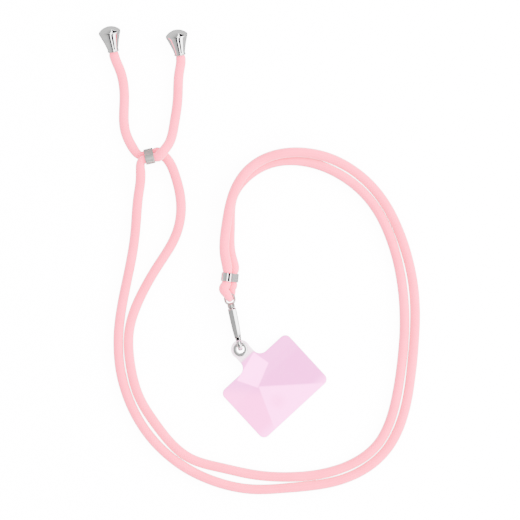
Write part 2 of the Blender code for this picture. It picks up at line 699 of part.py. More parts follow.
def make_hook_body(collection, guides, material):
    """The hook: a collar, a spine that swings round the bow to the nose, and an ear with a pivot."""
    matrix = HOOK.matrix()
    radius = HOOK.bow_radius
    path = [(reach * COLLAR_LENGTH, -drop * radius) for reach, drop in SPINE_ROOT_SHARES]
    path.append(((path[-1][0] + HOOK.bow_centre) / 2, -radius))
    path += arc((HOOK.bow_centre, 0.0), radius, -90, 90, 10)
    path.append((HOOK.nose_tip, radius))
    curve = bpy.data.curves.new("hook_body", "CURVE")
    curve.dimensions = "3D"
    curve.bevel_depth = HOOK_BAR / 2
    curve.bevel_resolution = 3
    curve.use_fill_caps = True
    spline = curve.splines.new("POLY")
    spline.points.add(len(path) - 1)
    for point, (reach, height) in zip(spline.points, path):
        point.co = (reach, 0.0, height, 1.0)
    mesh = curve_to_mesh(curve, guides)
    for vert in mesh.vertices:
        vert.co.y *= hook_width_at(vert.co.x) / HOOK_BAR
    hook = add_object("hook_body", mesh, collection, material, matrix)
    collar = rod_object("collar", (0, 0, 0), (COLLAR_LENGTH, 0, 0), HOOK_WIDTH / 2, guides, matrix)
    low = Vector((COLLAR_LENGTH / 2, HOOK_WIDTH / 2 - EAR_FOOT_RADIUS))
    high = Vector((PIVOT_REACH, HOOK.pivot_height))
    lean = math.degrees(math.atan2(high.y - low.y, high.x - low.x))
    outline = arc(high, EAR_RADIUS, lean - 90, lean + 90, 8)
    outline += arc(low, EAR_FOOT_RADIUS, lean + 90, lean + 270, 6)
    ear_mesh = curve_to_mesh(flat_curve("ear", [outline], EAR_THICKNESS), guides)
    upright = Matrix.Rotation(math.radians(90), 4, "X")
    ear = add_object("ear", ear_mesh, guides, matrix=matrix @ upright)
    reach = hook_width_at(PIVOT_REACH) / 2
    pivot = rod_object(
        "pivot", (PIVOT_REACH, -reach, HOOK.pivot_height), (PIVOT_REACH, reach, HOOK.pivot_height),
        PIVOT_DIAMETER / 2, guides, matrix, 12,
    )
    combine(hook, [collar, ear, pivot], "UNION")
    bore_radius = PIN_DIAMETER / 2 + CLEARANCE
    head_room = COLLAR_LENGTH + PIN_HEAD_LENGTH + 2 * CLEARANCE
    bore = rod_object(
        "bore", (-COLLAR_LENGTH, 0, 0), (head_room, 0, 0), bore_radius, guides, matrix, 16
    )
    return combine(hook, [bore], "DIFFERENCE")


def make_hook_gate(collection, guides, material):
    """The gate: a hub and a tail that straddle the ear, a full-width bar, and a tongue under the nose."""
    matrix = HOOK.matrix() @ Matrix.Translation((PIVOT_REACH, 0, HOOK.pivot_height))
    top = PIVOT_DEPTH
    bottom = HOOK_GAP / 2 - HOOK.pivot_height
    tail_bottom = top - GATE_TAIL_HEIGHT
    step = HOOK.gate_step - PIVOT_REACH
    tip = HOOK.tongue_tip - PIVOT_REACH
    hub_start = 180 - math.degrees(math.asin(tail_bottom / GATE_HUB_RADIUS))
    hub_end = 360 + math.degrees(math.asin(bottom / GATE_HUB_RADIUS))
    outline = [(-GATE_TAIL_LENGTH, top), (-GATE_TAIL_LENGTH, tail_bottom)]
    outline += arc((0.0, 0.0), GATE_HUB_RADIUS, hub_start, hub_end, 12)
    outline += [(tip, bottom), (tip, bottom + GATE_TONGUE_HEIGHT)]
    outline += [(step, bottom + GATE_TONGUE_HEIGHT), (step - CLEARANCE, top)]
    hole = arc((0.0, 0.0), PIVOT_DIAMETER / 2 + CLEARANCE, 0, 360, 12)[:-1]
    mesh = curve_to_mesh(flat_curve("hook_gate", [outline, hole], HOOK_WIDTH), guides)
    shape = bmesh.new()
    shape.from_mesh(mesh)
    bmesh.ops.transform(shape, matrix=Matrix.Rotation(math.radians(90), 4, "X"), verts=shape.verts)
    for vert in shape.verts:
        vert.co.y *= hook_width_at(vert.co.x + PIVOT_REACH) / HOOK_WIDTH
    shape.to_mesh(mesh)
    shape.free()
    gate = add_object("hook_gate", mesh, collection, material, matrix)
    beyond = HOOK_LENGTH
    slot_half = EAR_THICKNESS / 2 + CLEARANCE
    slot_reach = EAR_RADIUS + CLEARANCE
    cutters = [box_object(
        "slot", (-beyond, -slot_half, -beyond), (slot_reach, slot_half, slot_reach), guides, matrix
    )]
    for side in (-1, 1):
        near = min(side * GATE_TONGUE_WIDTH / 2, side * beyond)
        far = max(side * GATE_TONGUE_WIDTH / 2, side * beyond)
        cutters.append(box_object(
            "trim", (step, near, -beyond), (tip + beyond, far, beyond), guides, matrix
        ))
    return combine(gate, cutters, "DIFFERENCE")


def main():
    clear_scene()
    parts = new_collection("phone_crossbody_strap")
    guides = new_collection("guides")
    cord_pink = make_material("cord_pink", (0.90, 0.38, 0.47), 0.75, 0.0)
    chrome = make_material("chrome", (0.80, 0.80, 0.82), 0.12, 1.0)
    clear_pink = make_material("clear_pink", (0.90, 0.68, 0.86), 0.30, 0.0)

    make_cord(parts, cord_pink)
    make_ring("slider", SLIDER, parts, chrome)
    make_ring("ferrule", FERRULE, parts, chrome)
    make_cap("end_cap_left", LEFT_CAP, parts, chrome)
    make_cap("end_cap_right", RIGHT_CAP, parts, chrome)
    make_swivel_eye(parts, guides, chrome)
    hook_body = make_hook_body(parts, guides, chrome)
    hook_gate = make_hook_gate(parts, guides, chrome)
    eyelet = make_eyelet(parts, chrome)
    patch = make_patch(parts, clear_pink)

    swivel = bpy.data.objects.new("swivel_axis", None)
    parts.objects.link(swivel)
    swivel.matrix_world = HOOK.matrix()
    for piece in (hook_body, hook_gate, eyelet, patch):
        placed = piece.matrix_world.copy()
        piece.parent = swivel
        piece.matrix_parent_inverse = HOOK.matrix().inverted()
        piece.matrix_world = placed


main()
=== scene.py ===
# %% [markdown]
# # A phone crossbody strap, dressed for its picture
# The strap is one long cord, doubled, with polished fittings and a see-through plastic patch that a
# phone case traps. The construction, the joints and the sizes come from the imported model. This
# script gives every piece its fine shape and its finish, then a floor, soft light and a camera.
# Each step is a cell: first what the real piece is and how it is made here, then the code.

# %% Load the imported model
import math

import bmesh
import bpy
import numpy as np
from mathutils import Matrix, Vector
from mathutils.geometry import delaunay_2d_cdt


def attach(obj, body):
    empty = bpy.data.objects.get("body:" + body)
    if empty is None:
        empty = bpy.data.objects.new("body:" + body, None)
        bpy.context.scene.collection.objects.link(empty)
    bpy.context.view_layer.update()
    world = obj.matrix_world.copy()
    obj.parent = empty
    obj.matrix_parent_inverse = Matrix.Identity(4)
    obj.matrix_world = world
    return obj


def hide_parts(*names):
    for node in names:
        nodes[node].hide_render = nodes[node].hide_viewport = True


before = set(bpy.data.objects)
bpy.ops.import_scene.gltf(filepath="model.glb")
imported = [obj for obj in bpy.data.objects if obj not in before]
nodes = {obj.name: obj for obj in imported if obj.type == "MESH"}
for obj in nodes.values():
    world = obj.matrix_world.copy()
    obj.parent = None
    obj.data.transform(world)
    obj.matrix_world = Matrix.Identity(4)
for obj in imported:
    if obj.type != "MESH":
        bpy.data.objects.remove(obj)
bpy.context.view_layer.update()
print("nodes:", ", ".join(sorted(nodes)))

# %% [markdown]
# ## The camera
# The strap is photographed lying flat, from straight above. A long lens far away keeps the scale
# the same over the whole picture: one pixel of the 520 pixel frame is 0.70 mm on the floor.

# %% Camera
MM = 0.001
PICTURE = 520
PIXEL = 0.70 * MM
PATCH_MIDDLE_PX = (274.7, 386.2)
LENS = 200.0
SENSOR = 36.0

camera_data = bpy.data.cameras.new("camera")
camera_data.lens = LENS
camera_data.sensor_width = SENSOR
camera = bpy.data.objects.new("camera", camera_data)
bpy.context.scene.collection.objects.link(camera)
camera.location = (
    (PICTURE / 2 - PATCH_MIDDLE_PX[0]) * PIXEL,
    (PATCH_MIDDLE_PX[1] - PICTURE / 2) * PIXEL,
    PICTURE * PIXEL * LENS / SENSOR,
)
camera_data.clip_end = 20.0
bpy.context.scene.camera = camera
print("camera at", [round(v, 3) for v in camera.location])

# %% [markdown]
# ## Small tools
# A surface is a grid of points: rows along one parameter, columns along the other. The points are
# worked out as whole arrays, and this cell joins neighbours into four-sided faces. A grid can be
# closed along either parameter, and a row that shrinks to one point is welded into a pole.


# %% Grids to meshes
def grid_faces(rows, columns, closed_rows=False, closed_columns=True, first=0):
    """Quads between neighbours: corner numbers are row * columns + column, wrapped where closed."""
    i = np.arange(rows if closed_rows else rows - 1)[:, None]
    j = np.arange(columns if closed_columns else columns - 1)[None, :]
    i2 = (i + 1) % rows
    j2 = (j + 1) % columns
    corners = [i * columns + j, i * columns + j2, i2 * columns + j2, i2 * columns + j]
    return np.stack(corners, axis=-1).reshape(-1, 4) + first


def new_object(name, data):
    """An object for this data at the origin, in the scene."""
    made = bpy.data.objects.new(name, data)
    bpy.context.scene.collection.objects.link(made)
    return made


def new_piece(name, points, faces, material, smooth_angle=40):
    """A mesh object from points and faces, welded, with its faces turned outward."""
    mesh = bpy.data.meshes.new(name)
    mesh.from_pydata([tuple(p) for p in points], [], [list(f) for f in faces])
    work = bmesh.new()
    work.from_mesh(mesh)
    bmesh.ops.remove_doubles(work, verts=work.verts, dist=1e-7)
    bmesh.ops.dissolve_degenerate(work, edges=work.edges, dist=1e-7)
    bmesh.ops.recalc_face_normals(work, faces=work.faces)
    work.to_mesh(mesh)
    work.free()
    mesh.shade_smooth()
    mesh.set_sharp_from_angle(angle=math.radians(smooth_angle))
    mesh.materials.append(material)
    print(f"{name}: {len(mesh.polygons)} faces")
    return new_object(name, mesh)


def stack_grids(grids):
    """Several grids of points as one list of points and one of faces."""
    points = []
    faces = []
    count = 0
    for grid, closed_rows, closed_columns in grids:
        rows, columns = grid.shape[:2]
        points.append(grid.reshape(-1, 3))
        faces.append(grid_faces(rows, columns, closed_rows, closed_columns, count))
        count += rows * columns
    return np.concatenate(points), np.concatenate(faces)


def place(points, origin, x_axis, y_axis, z_axis):
    """Carry local points to the world: origin + x * x_axis + y * y_axis + z * z_axis."""
    return np.asarray(origin) + points @ np.stack([x_axis, y_axis, z_axis])


def arc(centre, radius, start, end, steps):
    """Points on a circle's arc, centre + radius * (cos a, sin a), angles in degrees."""
    a = np.radians(np.linspace(start, end, steps + 1))
    return np.stack([centre[0] + radius * np.cos(a), centre[1] + radius * np.sin(a)], axis=1)


def turned(profile, steps=96):
    """Turn a profile of (radius, height) about local Z: x = r cos a, y = r sin a, z = height."""
    a = np.linspace(0.0, 2 * math.pi, steps, endpoint=False)
    r = profile[:, 0][:, None]
    z = np.broadcast_to(profile[:, 1][:, None], (len(profile), steps))
    return np.stack([r * np.cos(a), r * np.sin(a), z], axis=-1)


def unit(vector):
    """The vector at length one."""
    vector = np.asarray(vector, float)
    return vector / np.linalg.norm(vector)


def closed(grid):
    """Add a row at each end that is pulled to the middle of the end row."""
    first = np.repeat(grid[:1].mean(axis=1, keepdims=True), grid.shape[1], axis=1)
    last = np.repeat(grid[-1:].mean(axis=1, keepdims=True), grid.shape[1], axis=1)
    return np.concatenate([first, grid, last])


UP = np.array([0.0, 0.0, 1.0])

# %% [markdown]
# ## Sizes shared with the construction
# The fittings keep the sizes of the solids they dress. The rings hold two strands, one half above
# the other; the caps lie on their flared sides; the hook stands on its spine with the gate upward.

# %% Sizes and places, in metres
CLEARANCE = 0.3 * MM
CORD_DIAMETER = 6.8 * MM
CORD_SHOWN = 7.0 * MM
CORD_GRIPPED = 6.0 * MM
CORD_IN_EYE = 4.4 * MM
CORD_IN_FOLD = 6.1 * MM
CORD_ENTERING_EYE = 5.0 * MM
CORD_FLARE = 2.5 * MM
CORD_AT_BEND = 5.8 * MM
FLARE_AT_BEND = 1.5 * MM

RING_WALL = 0.7 * MM
CAP_BODY = 14.6 * MM
CAP_DOME = 3.6 * MM
CAP_RIM_RADIUS = 7.75 * MM
CAP_MOUTH_WALL = 0.6 * MM
CAP_LIP = 0.2 * MM
CAP_SOCKET = 10.0 * MM

PATCH_LENGTH = 62.4 * MM
PATCH_WIDTH = 45.0 * MM
PATCH_THICKNESS = 1.0 * MM
PATCH_CORNER = 4.5 * MM
PATCH_TURN = math.radians(42.7)
NECK_HALF = 6.35 * MM
NECK_FILLET = 6.0 * MM
TAB_RADIUS = 6.7 * MM
TAB_LIFT = 4.6 * MM
LIFT_START = 8.0 * MM
EYELET_REACH = PATCH_WIDTH / 2 + 12.8 * MM
EYELET_RADIUS = 5.05 * MM
EYELET_HOLE_RADIUS = 2.6 * MM

EYE_WIRE = 1.6 * MM
EYE_LENGTH = 8.4 * MM
EYE_HEIGHT = 7.15 * MM
NECK_LENGTH = 2.4 * MM
SHOULDER_RADIUS = 2.6 * MM
PIN_RADIUS = 0.85 * MM
PIN_HEAD_RADIUS = 1.4 * MM
PIN_HEAD_LENGTH = 0.8 * MM

HOOK_LENGTH = 30.3 * MM
HOOK_BAR = 2.6 * MM
HOOK_GAP = 5.2 * MM
HOOK_WIDTH = 5.8 * MM
HOOK_WIDTH_AT_BOW = 3.4 * MM
TAPER_POWER = 3
COLLAR_LENGTH = 2.6 * MM
EAR_THICKNESS = 2.4 * MM
EAR_RADIUS = 1.1 * MM
EAR_FOOT_RADIUS = 0.55 * MM
PIVOT_REACH = 5.1 * MM
PIVOT_DEPTH = 2.2 * MM
NOSE_TIP = 23.4 * MM
GATE_STEP = 20.6 * MM
GATE_HUB_RADIUS = 1.9 * MM
GATE_TAIL_LENGTH = 4.5 * MM
GATE_TAIL_HEIGHT = 1.9 * MM
TONGUE_HEIGHT = 1.3 * MM
TONGUE_WIDTH = 2.6 * MM
EYELET_SEAT_GAP = 0.9 * MM
HOOK_HEADING = math.radians(-78.05)
HOOK_DIP = math.radians(3.3)


# %% Local frames of the rings, the caps and the hook
class Ring:
    """A ring round two strands: across runs from the lower strand to the upper one."""

    spacing = CORD_GRIPPED + CLEARANCE
    inner = CORD_GRIPPED / 2 + CLEARANCE

    def __init__(self, centre, heading, slant, length):
        heading, slant = math.radians(heading), math.radians(slant)
        self.along = np.array([math.cos(heading), math.sin(heading), 0.0])
        right = np.array([math.sin(heading), -math.cos(heading), 0.0])
        self.across = right * math.cos(slant) + UP * math.sin(slant)
        self.face = np.cross(self.along, self.across)
        self.length = length
        height = self.inner + RING_WALL + self.spacing / 2 * math.sin(slant)
        self.centre = np.array([*centre, height])

    def rows(self, side):
        """Route rows of one strand in the ring: side is 1 for the upper strand, -1 for the lower."""
        half = self.length / 2
        reach = np.array([-half - CORD_FLARE, -half, 0.0, half, half + CORD_FLARE])
        width = np.array([CORD_DIAMETER, CORD_GRIPPED, CORD_GRIPPED, CORD_GRIPPED, CORD_DIAMETER])
        out = side * (self.spacing / 2 + (width - CORD_GRIPPED) / 2)
        points = self.centre + np.outer(out, self.across) + np.outer(reach, self.along)
        return np.column_stack([points, width])


class Cap:
    """An end cap resting on its rim and its mouth, so that its axis climbs to the dome."""

    mouth_radius = CORD_GRIPPED / 2 + CLEARANCE + CAP_MOUTH_WALL

    def __init__(self, mouth, heading):
        heading = math.radians(heading)
        tilt = math.atan2(CAP_RIM_RADIUS - self.mouth_radius, CAP_BODY)
        flat = np.array([math.cos(heading), math.sin(heading), 0.0])
        self.axis = flat * math.cos(tilt) + UP * math.sin(tilt)
        self.side = unit(np.cross(UP, self.axis))
        self.mouth = np.array([*mouth, (self.mouth_radius + CAP_LIP) * math.cos(tilt)])

    def rows(self):
        """Route rows from the cord's end in the socket to just outside the mouth."""
        end = self.mouth + self.axis * (CAP_SOCKET - CLEARANCE)
        outside = self.mouth - self.axis * CORD_FLARE
        outside[2] = max(outside[2], CORD_DIAMETER / 2) + CLEARANCE
        rows = [[*end, CORD_GRIPPED], [*self.mouth, CORD_GRIPPED], [*outside, CORD_DIAMETER]]
        return np.array(rows)


slider = Ring((-87.5 * MM, 160.7 * MM), 13.0, 59.0, 6.5 * MM)
ferrule = Ring((-31.3 * MM, 76.2 * MM), -96.2, 48.0, 6.1 * MM)
left_cap = Cap((-112.7 * MM, 233.9 * MM), 100.8)
right_cap = Cap((-66.1 * MM, 231.5 * MM), 100.0)

patch_along = np.array([math.cos(PATCH_TURN), math.sin(PATCH_TURN), 0.0])
patch_towards_tab = np.array([-math.sin(PATCH_TURN), math.cos(PATCH_TURN), 0.0])
eyelet_centre = patch_towards_tab * EYELET_REACH + UP * (TAB_LIFT + PATCH_THICKNESS / 2)

hook_flat = np.array([math.cos(HOOK_HEADING), math.sin(HOOK_HEADING), 0.0])
hook_x = hook_flat * math.cos(HOOK_DIP) - UP * math.sin(HOOK_DIP)
hook_y = np.cross(UP, hook_flat)
hook_z = np.cross(hook_x, hook_y)
eye_centre = -NECK_LENGTH - EYE_LENGTH / 2
hook_origin = eyelet_centre * (1, 1, 0) - hook_flat * (HOOK_LENGTH - EYELET_SEAT_GAP)
hook_origin[2] = EYE_HEIGHT + eye_centre * math.sin(HOOK_DIP)
hook_frame = (hook_origin, hook_x, hook_y, hook_z)
print("hook starts at", np.round(hook_origin, 4))

# %% [markdown]
# ## The cord's route
# The cord is 1.7 m of soft braid. It leaves the left cap, runs through the slider and right round
# the loop, through the ferrule, folds through the swivel eye, and comes back beside itself to the
# right cap. The route is listed, a point every few centimetres, and one smooth cubic curve
# passes through every point. Where a fitting grips the cord it is thinner.

# %% Route points: x, y, the pair's spacing and the outer strand's lift, in metres
LEFT_END_ROUTE = MM * np.array([
    (-108.3, 221.3), (-105.1, 201.7), (-104.8, 180.0), (-99.4, 167.1),
])
INNER_START_ROUTE = MM * np.array([
    (-79.4, 162.6), (-74.4, 157.8), (-69.5, 147.1), (-65.5, 126.8), (-69.1, 105.8),
    (-81.3, 84.8), (-93.3, 63.8),
])
PAIR_ROUTE = MM * np.array([
    (-105.3, 39.3, 7.4, 0.0), (-104.6, 14.8, 7.4, 0.0), (-97.8, -9.7, 7.4, 0.0),
    (-87.0, -28.2, 8.4, 0.0), (-61.4, -53.1, 7.3, 0.0), (-37.6, -62.2, 10.6, 0.0),
    (-17.3, -66.5, 10.4, 0.0), (10.7, -67.0, 7.5, 0.0), (45.7, -61.5, 7.4, 0.0),
    (73.5, -44.1, 7.2, 0.0), (88.2, -11.1, 7.6, 0.0), (91.8, 11.3, 7.3, 0.0),
    (94.0, 35.0, 7.2, 0.0), (93.3, 67.3, 7.7, 0.0), (86.4, 98.8, 7.2, 0.0),
    (68.1, 133.9, 7.2, 0.0), (38.9, 155.4, 7.2, 0.8), (17.7, 160.5, 5.9, 4.3),
    (-4.7, 157.6, 4.4, 5.8), (-19.4, 148.2, 2.8, 6.8), (-29.2, 133.1, 0.3, 7.3),
    (-32.5, 112.8, 2.5, 7.0), (-32.2, 89.7, 4.6, 5.9),
])
OUTER_END_ROUTE = MM * np.array([
    (-103.2, 74.3, 0.0), (-97.7, 105.8, 0.3), (-95.2, 133.8, 1.0), (-93.6, 149.8, 4.4),
])
RIGHT_END_ROUTE = MM * np.array([
    (-78.3, 163.2, 7.3), (-74.0, 169.2, 5.0), (-70.3, 182.8, 1.0), (-67.8, 201.7, 0.0),
    (-66.7, 219.9, 0.0),
])
# The fold through the eye: reach past the eye's middle, side, thickness and height
FOLD_HALF_HEIGHT = 4.1 * MM
FOLD_SPREAD = 4.0 * MM
FOLD_UPPER_END = EYE_HEIGHT + FOLD_HALF_HEIGHT * 0.75
DIAGONAL = FOLD_HALF_HEIGHT * math.cos(math.radians(45))
FOLD_ROUTE = np.array([
    (-FOLD_HALF_HEIGHT - FOLD_SPREAD, 3.1 * MM, CORD_DIAMETER, CORD_DIAMETER / 2),
    (-FOLD_HALF_HEIGHT, 1.9 * MM, CORD_IN_FOLD, CORD_IN_FOLD / 2),
    (DIAGONAL - FOLD_HALF_HEIGHT, 0.9 * MM, CORD_ENTERING_EYE, EYE_HEIGHT - DIAGONAL),
    (0.0, 0.0, CORD_IN_EYE, EYE_HEIGHT),
    (DIAGONAL - FOLD_HALF_HEIGHT, -0.4 * MM, CORD_ENTERING_EYE, EYE_HEIGHT + DIAGONAL),
    (-FOLD_HALF_HEIGHT, -1.5 * MM, CORD_IN_FOLD, EYE_HEIGHT + FOLD_HALF_HEIGHT),
    (-FOLD_HALF_HEIGHT - FOLD_SPREAD, -2.6 * MM, CORD_DIAMETER, FOLD_UPPER_END),
])


# %% The smooth curve through them
def free_rows(x, y, lift=0.0):
    """Route rows on the floor, or lifted off it: x, y, height of the middle, thickness."""
    height = CORD_DIAMETER / 2 + np.broadcast_to(lift, np.shape(x))
    return np.column_stack([x, y, height, np.full(len(x), CORD_DIAMETER)])


def pair_rows():
    """Both strands of the pair: the middle line, set off at right angles by half the spacing."""
    middle = PAIR_ROUTE[:, :2]
    steps = np.diff(middle, axis=0)
    steps /= np.linalg.norm(steps, axis=1)[:, None]
    ahead = np.vstack([steps[:1], steps]) + np.vstack([steps, steps[-1:]])
    ahead[0] = steps[0]
    ahead[-1] = steps[-1]
    out = np.column_stack([ahead[:, 1], -ahead[:, 0]])
    out *= (PAIR_ROUTE[:, 2] / 2 / np.linalg.norm(out, axis=1))[:, None]
    inner = middle - out
    outer = middle + out
    return free_rows(*inner.T), free_rows(*outer.T, PAIR_ROUTE[:, 3])


def slider_rows(side):
    """One strand's rows in the slider. It bends just outside the left mouth, so its flare is short
    there."""
    rows = slider.rows(side)
    outside = slider.centre + slider.across * (side * slider.spacing / 2)
    outside = outside - slider.along * (slider.length / 2 + FLARE_AT_BEND)
    rows[0] = (*outside, CORD_AT_BEND)
    return rows


def fold_rows():
    """The fold's rows in the world, laid out along the hook's own heading."""
    reach, aside = FOLD_ROUTE[:, 0], FOLD_ROUTE[:, 1]
    flat = hook_origin + np.outer(eye_centre + reach, hook_x) + np.outer(aside, hook_y)
    return np.column_stack([flat[:, :2], FOLD_ROUTE[:, 3], FOLD_ROUTE[:, 2]])


def running_length(points):
    """The distance walked along the points up to each one."""
    return np.concatenate([[0.0], np.cumsum(np.linalg.norm(np.diff(points, axis=0), axis=1))])


def natural_spline(points, samples):
    """A natural cubic spline: the second derivative is solved so that every joint is smooth."""
    knots = running_length(points)
    steps = np.diff(knots)
    count = len(points)
    matrix = np.eye(count)
    right = np.zeros_like(points)
    rows = np.arange(1, count - 1)
    matrix[rows, rows - 1] = steps[:-1]
    matrix[rows, rows] = 2 * (steps[:-1] + steps[1:])
    matrix[rows, rows + 1] = steps[1:]
    right[1:-1] = 6 * np.diff(np.diff(points, axis=0) / steps[:, None], axis=0)
    bends = np.linalg.solve(matrix, right)
    at = np.linspace(0.0, knots[-1], samples)
    span = np.clip(np.searchsorted(knots, at, side="right") - 1, 0, count - 2)
    h = steps[span][:, None]
    a = (knots[span + 1] - at)[:, None] / h
    b = (at - knots[span])[:, None] / h
    places = a * points[span] + b * points[span + 1]
    places += ((a ** 3 - a) * bends[span] + (b ** 3 - b) * bends[span + 1]) * h * h / 6
    return places, at, knots


inner_strand, outer_strand = pair_rows()
route = np.vstack([
    left_cap.rows(),
    free_rows(*LEFT_END_ROUTE.T),
    slider_rows(-1),
    free_rows(*INNER_START_ROUTE.T),
    inner_strand,
    ferrule.rows(-1),
    fold_rows(),
    ferrule.rows(1)[::-1],
    outer_strand[::-1],
    free_rows(*OUTER_END_ROUTE.T),
    slider_rows(1),
    free_rows(*RIGHT_END_ROUTE.T),
    right_cap.rows()[::-1],
])
ROUTE_SAMPLES = 12000
fine_path, fine_at, knots = natural_spline(route[:, :3], ROUTE_SAMPLES)
fine_length = running_length(fine_path)
cord_length = fine_length[-1]
print(f"the cord is {cord_length:.3f} m long")

# %% [markdown]
# ## The cord's surface
# A braid keeps its roundness, but it isn't perfect: it swells and narrows a little along its
# length, which three slow waves of thickness stand for. The surface is a circle carried along the
# route. The circle must not spin as the route turns, so each station's sideways direction is the
# last one's, tipped only as much as the route bends.

# %% Carry a circle along the route
CORD_STEP = 1.1 * MM
CORD_SIDES = 36
WAVES = ((151.0, 0.0), (87.0, 1.3), (231.0, 0.6))
WAVE_HEIGHT = 0.035 * MM
ABOVE_FLOOR = 0.02 * MM

stations = int(cord_length / CORD_STEP)
where = np.linspace(0.0, cord_length, stations)
centre_line = np.stack([np.interp(where, fine_length, fine_path[:, k]) for k in range(3)], axis=1)
row_at = np.interp(knots, fine_at, fine_length)
thickness = np.interp(where, row_at, route[:, 3])
loose = np.clip((thickness - CORD_GRIPPED) / (CORD_DIAMETER - CORD_GRIPPED), 0.0, 1.0)
thickness = thickness + loose * (CORD_SHOWN - CORD_DIAMETER)
wander = sum(np.sin(where * turns + phase) for turns, phase in WAVES)
thickness = thickness + loose * wander * WAVE_HEIGHT
centre_line[:, 2] = np.maximum(centre_line[:, 2], thickness / 2 + ABOVE_FLOOR)

tangent = np.gradient(centre_line, axis=0)
tangent /= np.linalg.norm(tangent, axis=1)[:, None]
sideways = np.empty_like(tangent)
sideways[0] = unit(np.cross(UP, tangent[0]))
for k in range(1, stations):
    sideways[k] = unit(sideways[k - 1] - tangent[k] * (sideways[k - 1] @ tangent[k]))
upward = np.cross(tangent, sideways)

around = np.linspace(0.0, 2 * math.pi, CORD_SIDES, endpoint=False)
circle = np.stack([np.cos(around), np.sin(around)])[:, None, :, None]
ring = circle[0] * sideways[:, None, :] + circle[1] * upward[:, None, :]
cord_grid = centre_line[:, None, :] + ring * (thickness / 2)[:, None, None]

cord_mesh = bpy.data.meshes.new("cord_braided")
cord_faces = grid_faces(stations, CORD_SIDES)
last_ring = (stations - 1) * CORD_SIDES
end_faces = [list(range(CORD_SIDES)), list(range(last_ring, last_ring + CORD_SIDES))[::-1]]
cord_mesh.from_pydata(
    [tuple(p) for p in cord_grid.reshape(-1, 3)], [],
    [list(f)[::-1] for f in cord_faces] + end_faces,
)
print(f"cord_braided: {len(cord_mesh.polygons)} faces, {stations} stations")

# %% [markdown]
# ## The cord's own coordinates
# The braid pattern has to follow the cord round its bends, so it reads a UV map: U once round the
# cord, V along it in cord diameters.

# %% UV map along the cord
row = np.repeat(np.arange(stations - 1), CORD_SIDES)
column = np.tile(np.arange(CORD_SIDES), stations - 1)
u = np.stack([column, column + 1, column + 1, column], axis=1) / CORD_SIDES
v = np.stack([where[row], where[row], where[row + 1], where[row + 1]], axis=1) / CORD_DIAMETER
side_uv = np.stack([u, v], axis=-1)[:, ::-1].reshape(-1, 2)
end_uv = np.zeros((2 * CORD_SIDES, 2))
cord_uv = cord_mesh.uv_layers.new(name="along_cord")
cord_uv.data.foreach_set("uv", np.concatenate([side_uv, end_uv]).astype(np.float32).ravel())
cord_mesh.shade_smooth()
print("UV runs to", round(float(v.max()), 1), "diameters")


# %% [markdown]
# ## Building materials from nodes
# Materials here are procedural. These two helpers keep the cells short: one adds a node and sets
# its values, the other chains a Math node.

# %% Node helpers
def add_node(tree, kind, values=None, **settings):
    """A node of this kind with its settings and its input values or links."""
    node = tree.nodes.new(kind)
    for name, value in settings.items():
        setattr(node, name, value)
    for name, value in (values or {}).items():
        if isinstance(value, bpy.types.NodeSocket):
            tree.links.new(value, node.inputs[name])
        else:
            node.inputs[name].default_value = value
    return node


def math_node(tree, operation, first, second=0.0, third=0.0):
    """The output of one Math node."""
    node = add_node(tree, "ShaderNodeMath", {0: first, 1: second, 2: third}, operation=operation)
    return node.outputs[0]


def mix_colour(tree, share, first, second):
    """Blend two colours by a share between 0 and 1."""
    node = add_node(tree, "ShaderNodeMix", {0: share, 6: first, 7: second}, data_type="RGBA")
    return node.outputs[2]


def mix_value(tree, share, first, second):
    """Blend two numbers by a share between 0 and 1."""
    node = add_node(tree, "ShaderNodeMix", {0: share, 2: first, 3: second}, data_type="FLOAT")
    return node.outputs[0]


def ramp(tree, value, low, high, to_low=0.0, to_high=1.0):
    """Map a range of values to another with a soft start and end."""
    node = add_node(
        tree, "ShaderNodeMapRange", {0: value, 1: low, 2: high, 3: to_low, 4: to_high},
        interpolation_type="SMOOTHSTEP",
    )
    return node.outputs[0]


def new_group(name, inputs, outputs):
    """A shader node group with named sockets, and its input and output nodes."""
    group = bpy.data.node_groups.new(name, "ShaderNodeTree")
    for socket, kind, default in inputs:
        made = group.interface.new_socket(name=socket, in_out="INPUT", socket_type=kind)
        if default is not None:
            made.default_value = default
    for socket, kind in outputs:
        group.interface.new_socket(name=socket, in_out="OUTPUT", socket_type=kind)
    return group, group.nodes.new("NodeGroupInput"), group.nodes.new("NodeGroupOutput")


def new_material(name):
    """A material with its tree and its Principled shader."""
    material = bpy.data.materials.new(name)
    material.use_nodes = True
    return material, material.node_tree, material.node_tree.nodes["Principled BSDF"]


# %% [markdown]
# ## A braid
# Two families of yarn bundles wind round the cord in opposite senses and pass over and under each
# other, which gives a fine diamond texture. Each family is a number that counts bundles: turns
# round the cord plus or minus turns along it. Its fraction gives the bundle's rounded section, and
# the parity of both counts says which family is on top. Three threads run along each bundle.

# %% Braid group
FLOAT = "NodeSocketFloat"
VECTOR = "NodeSocketVector"

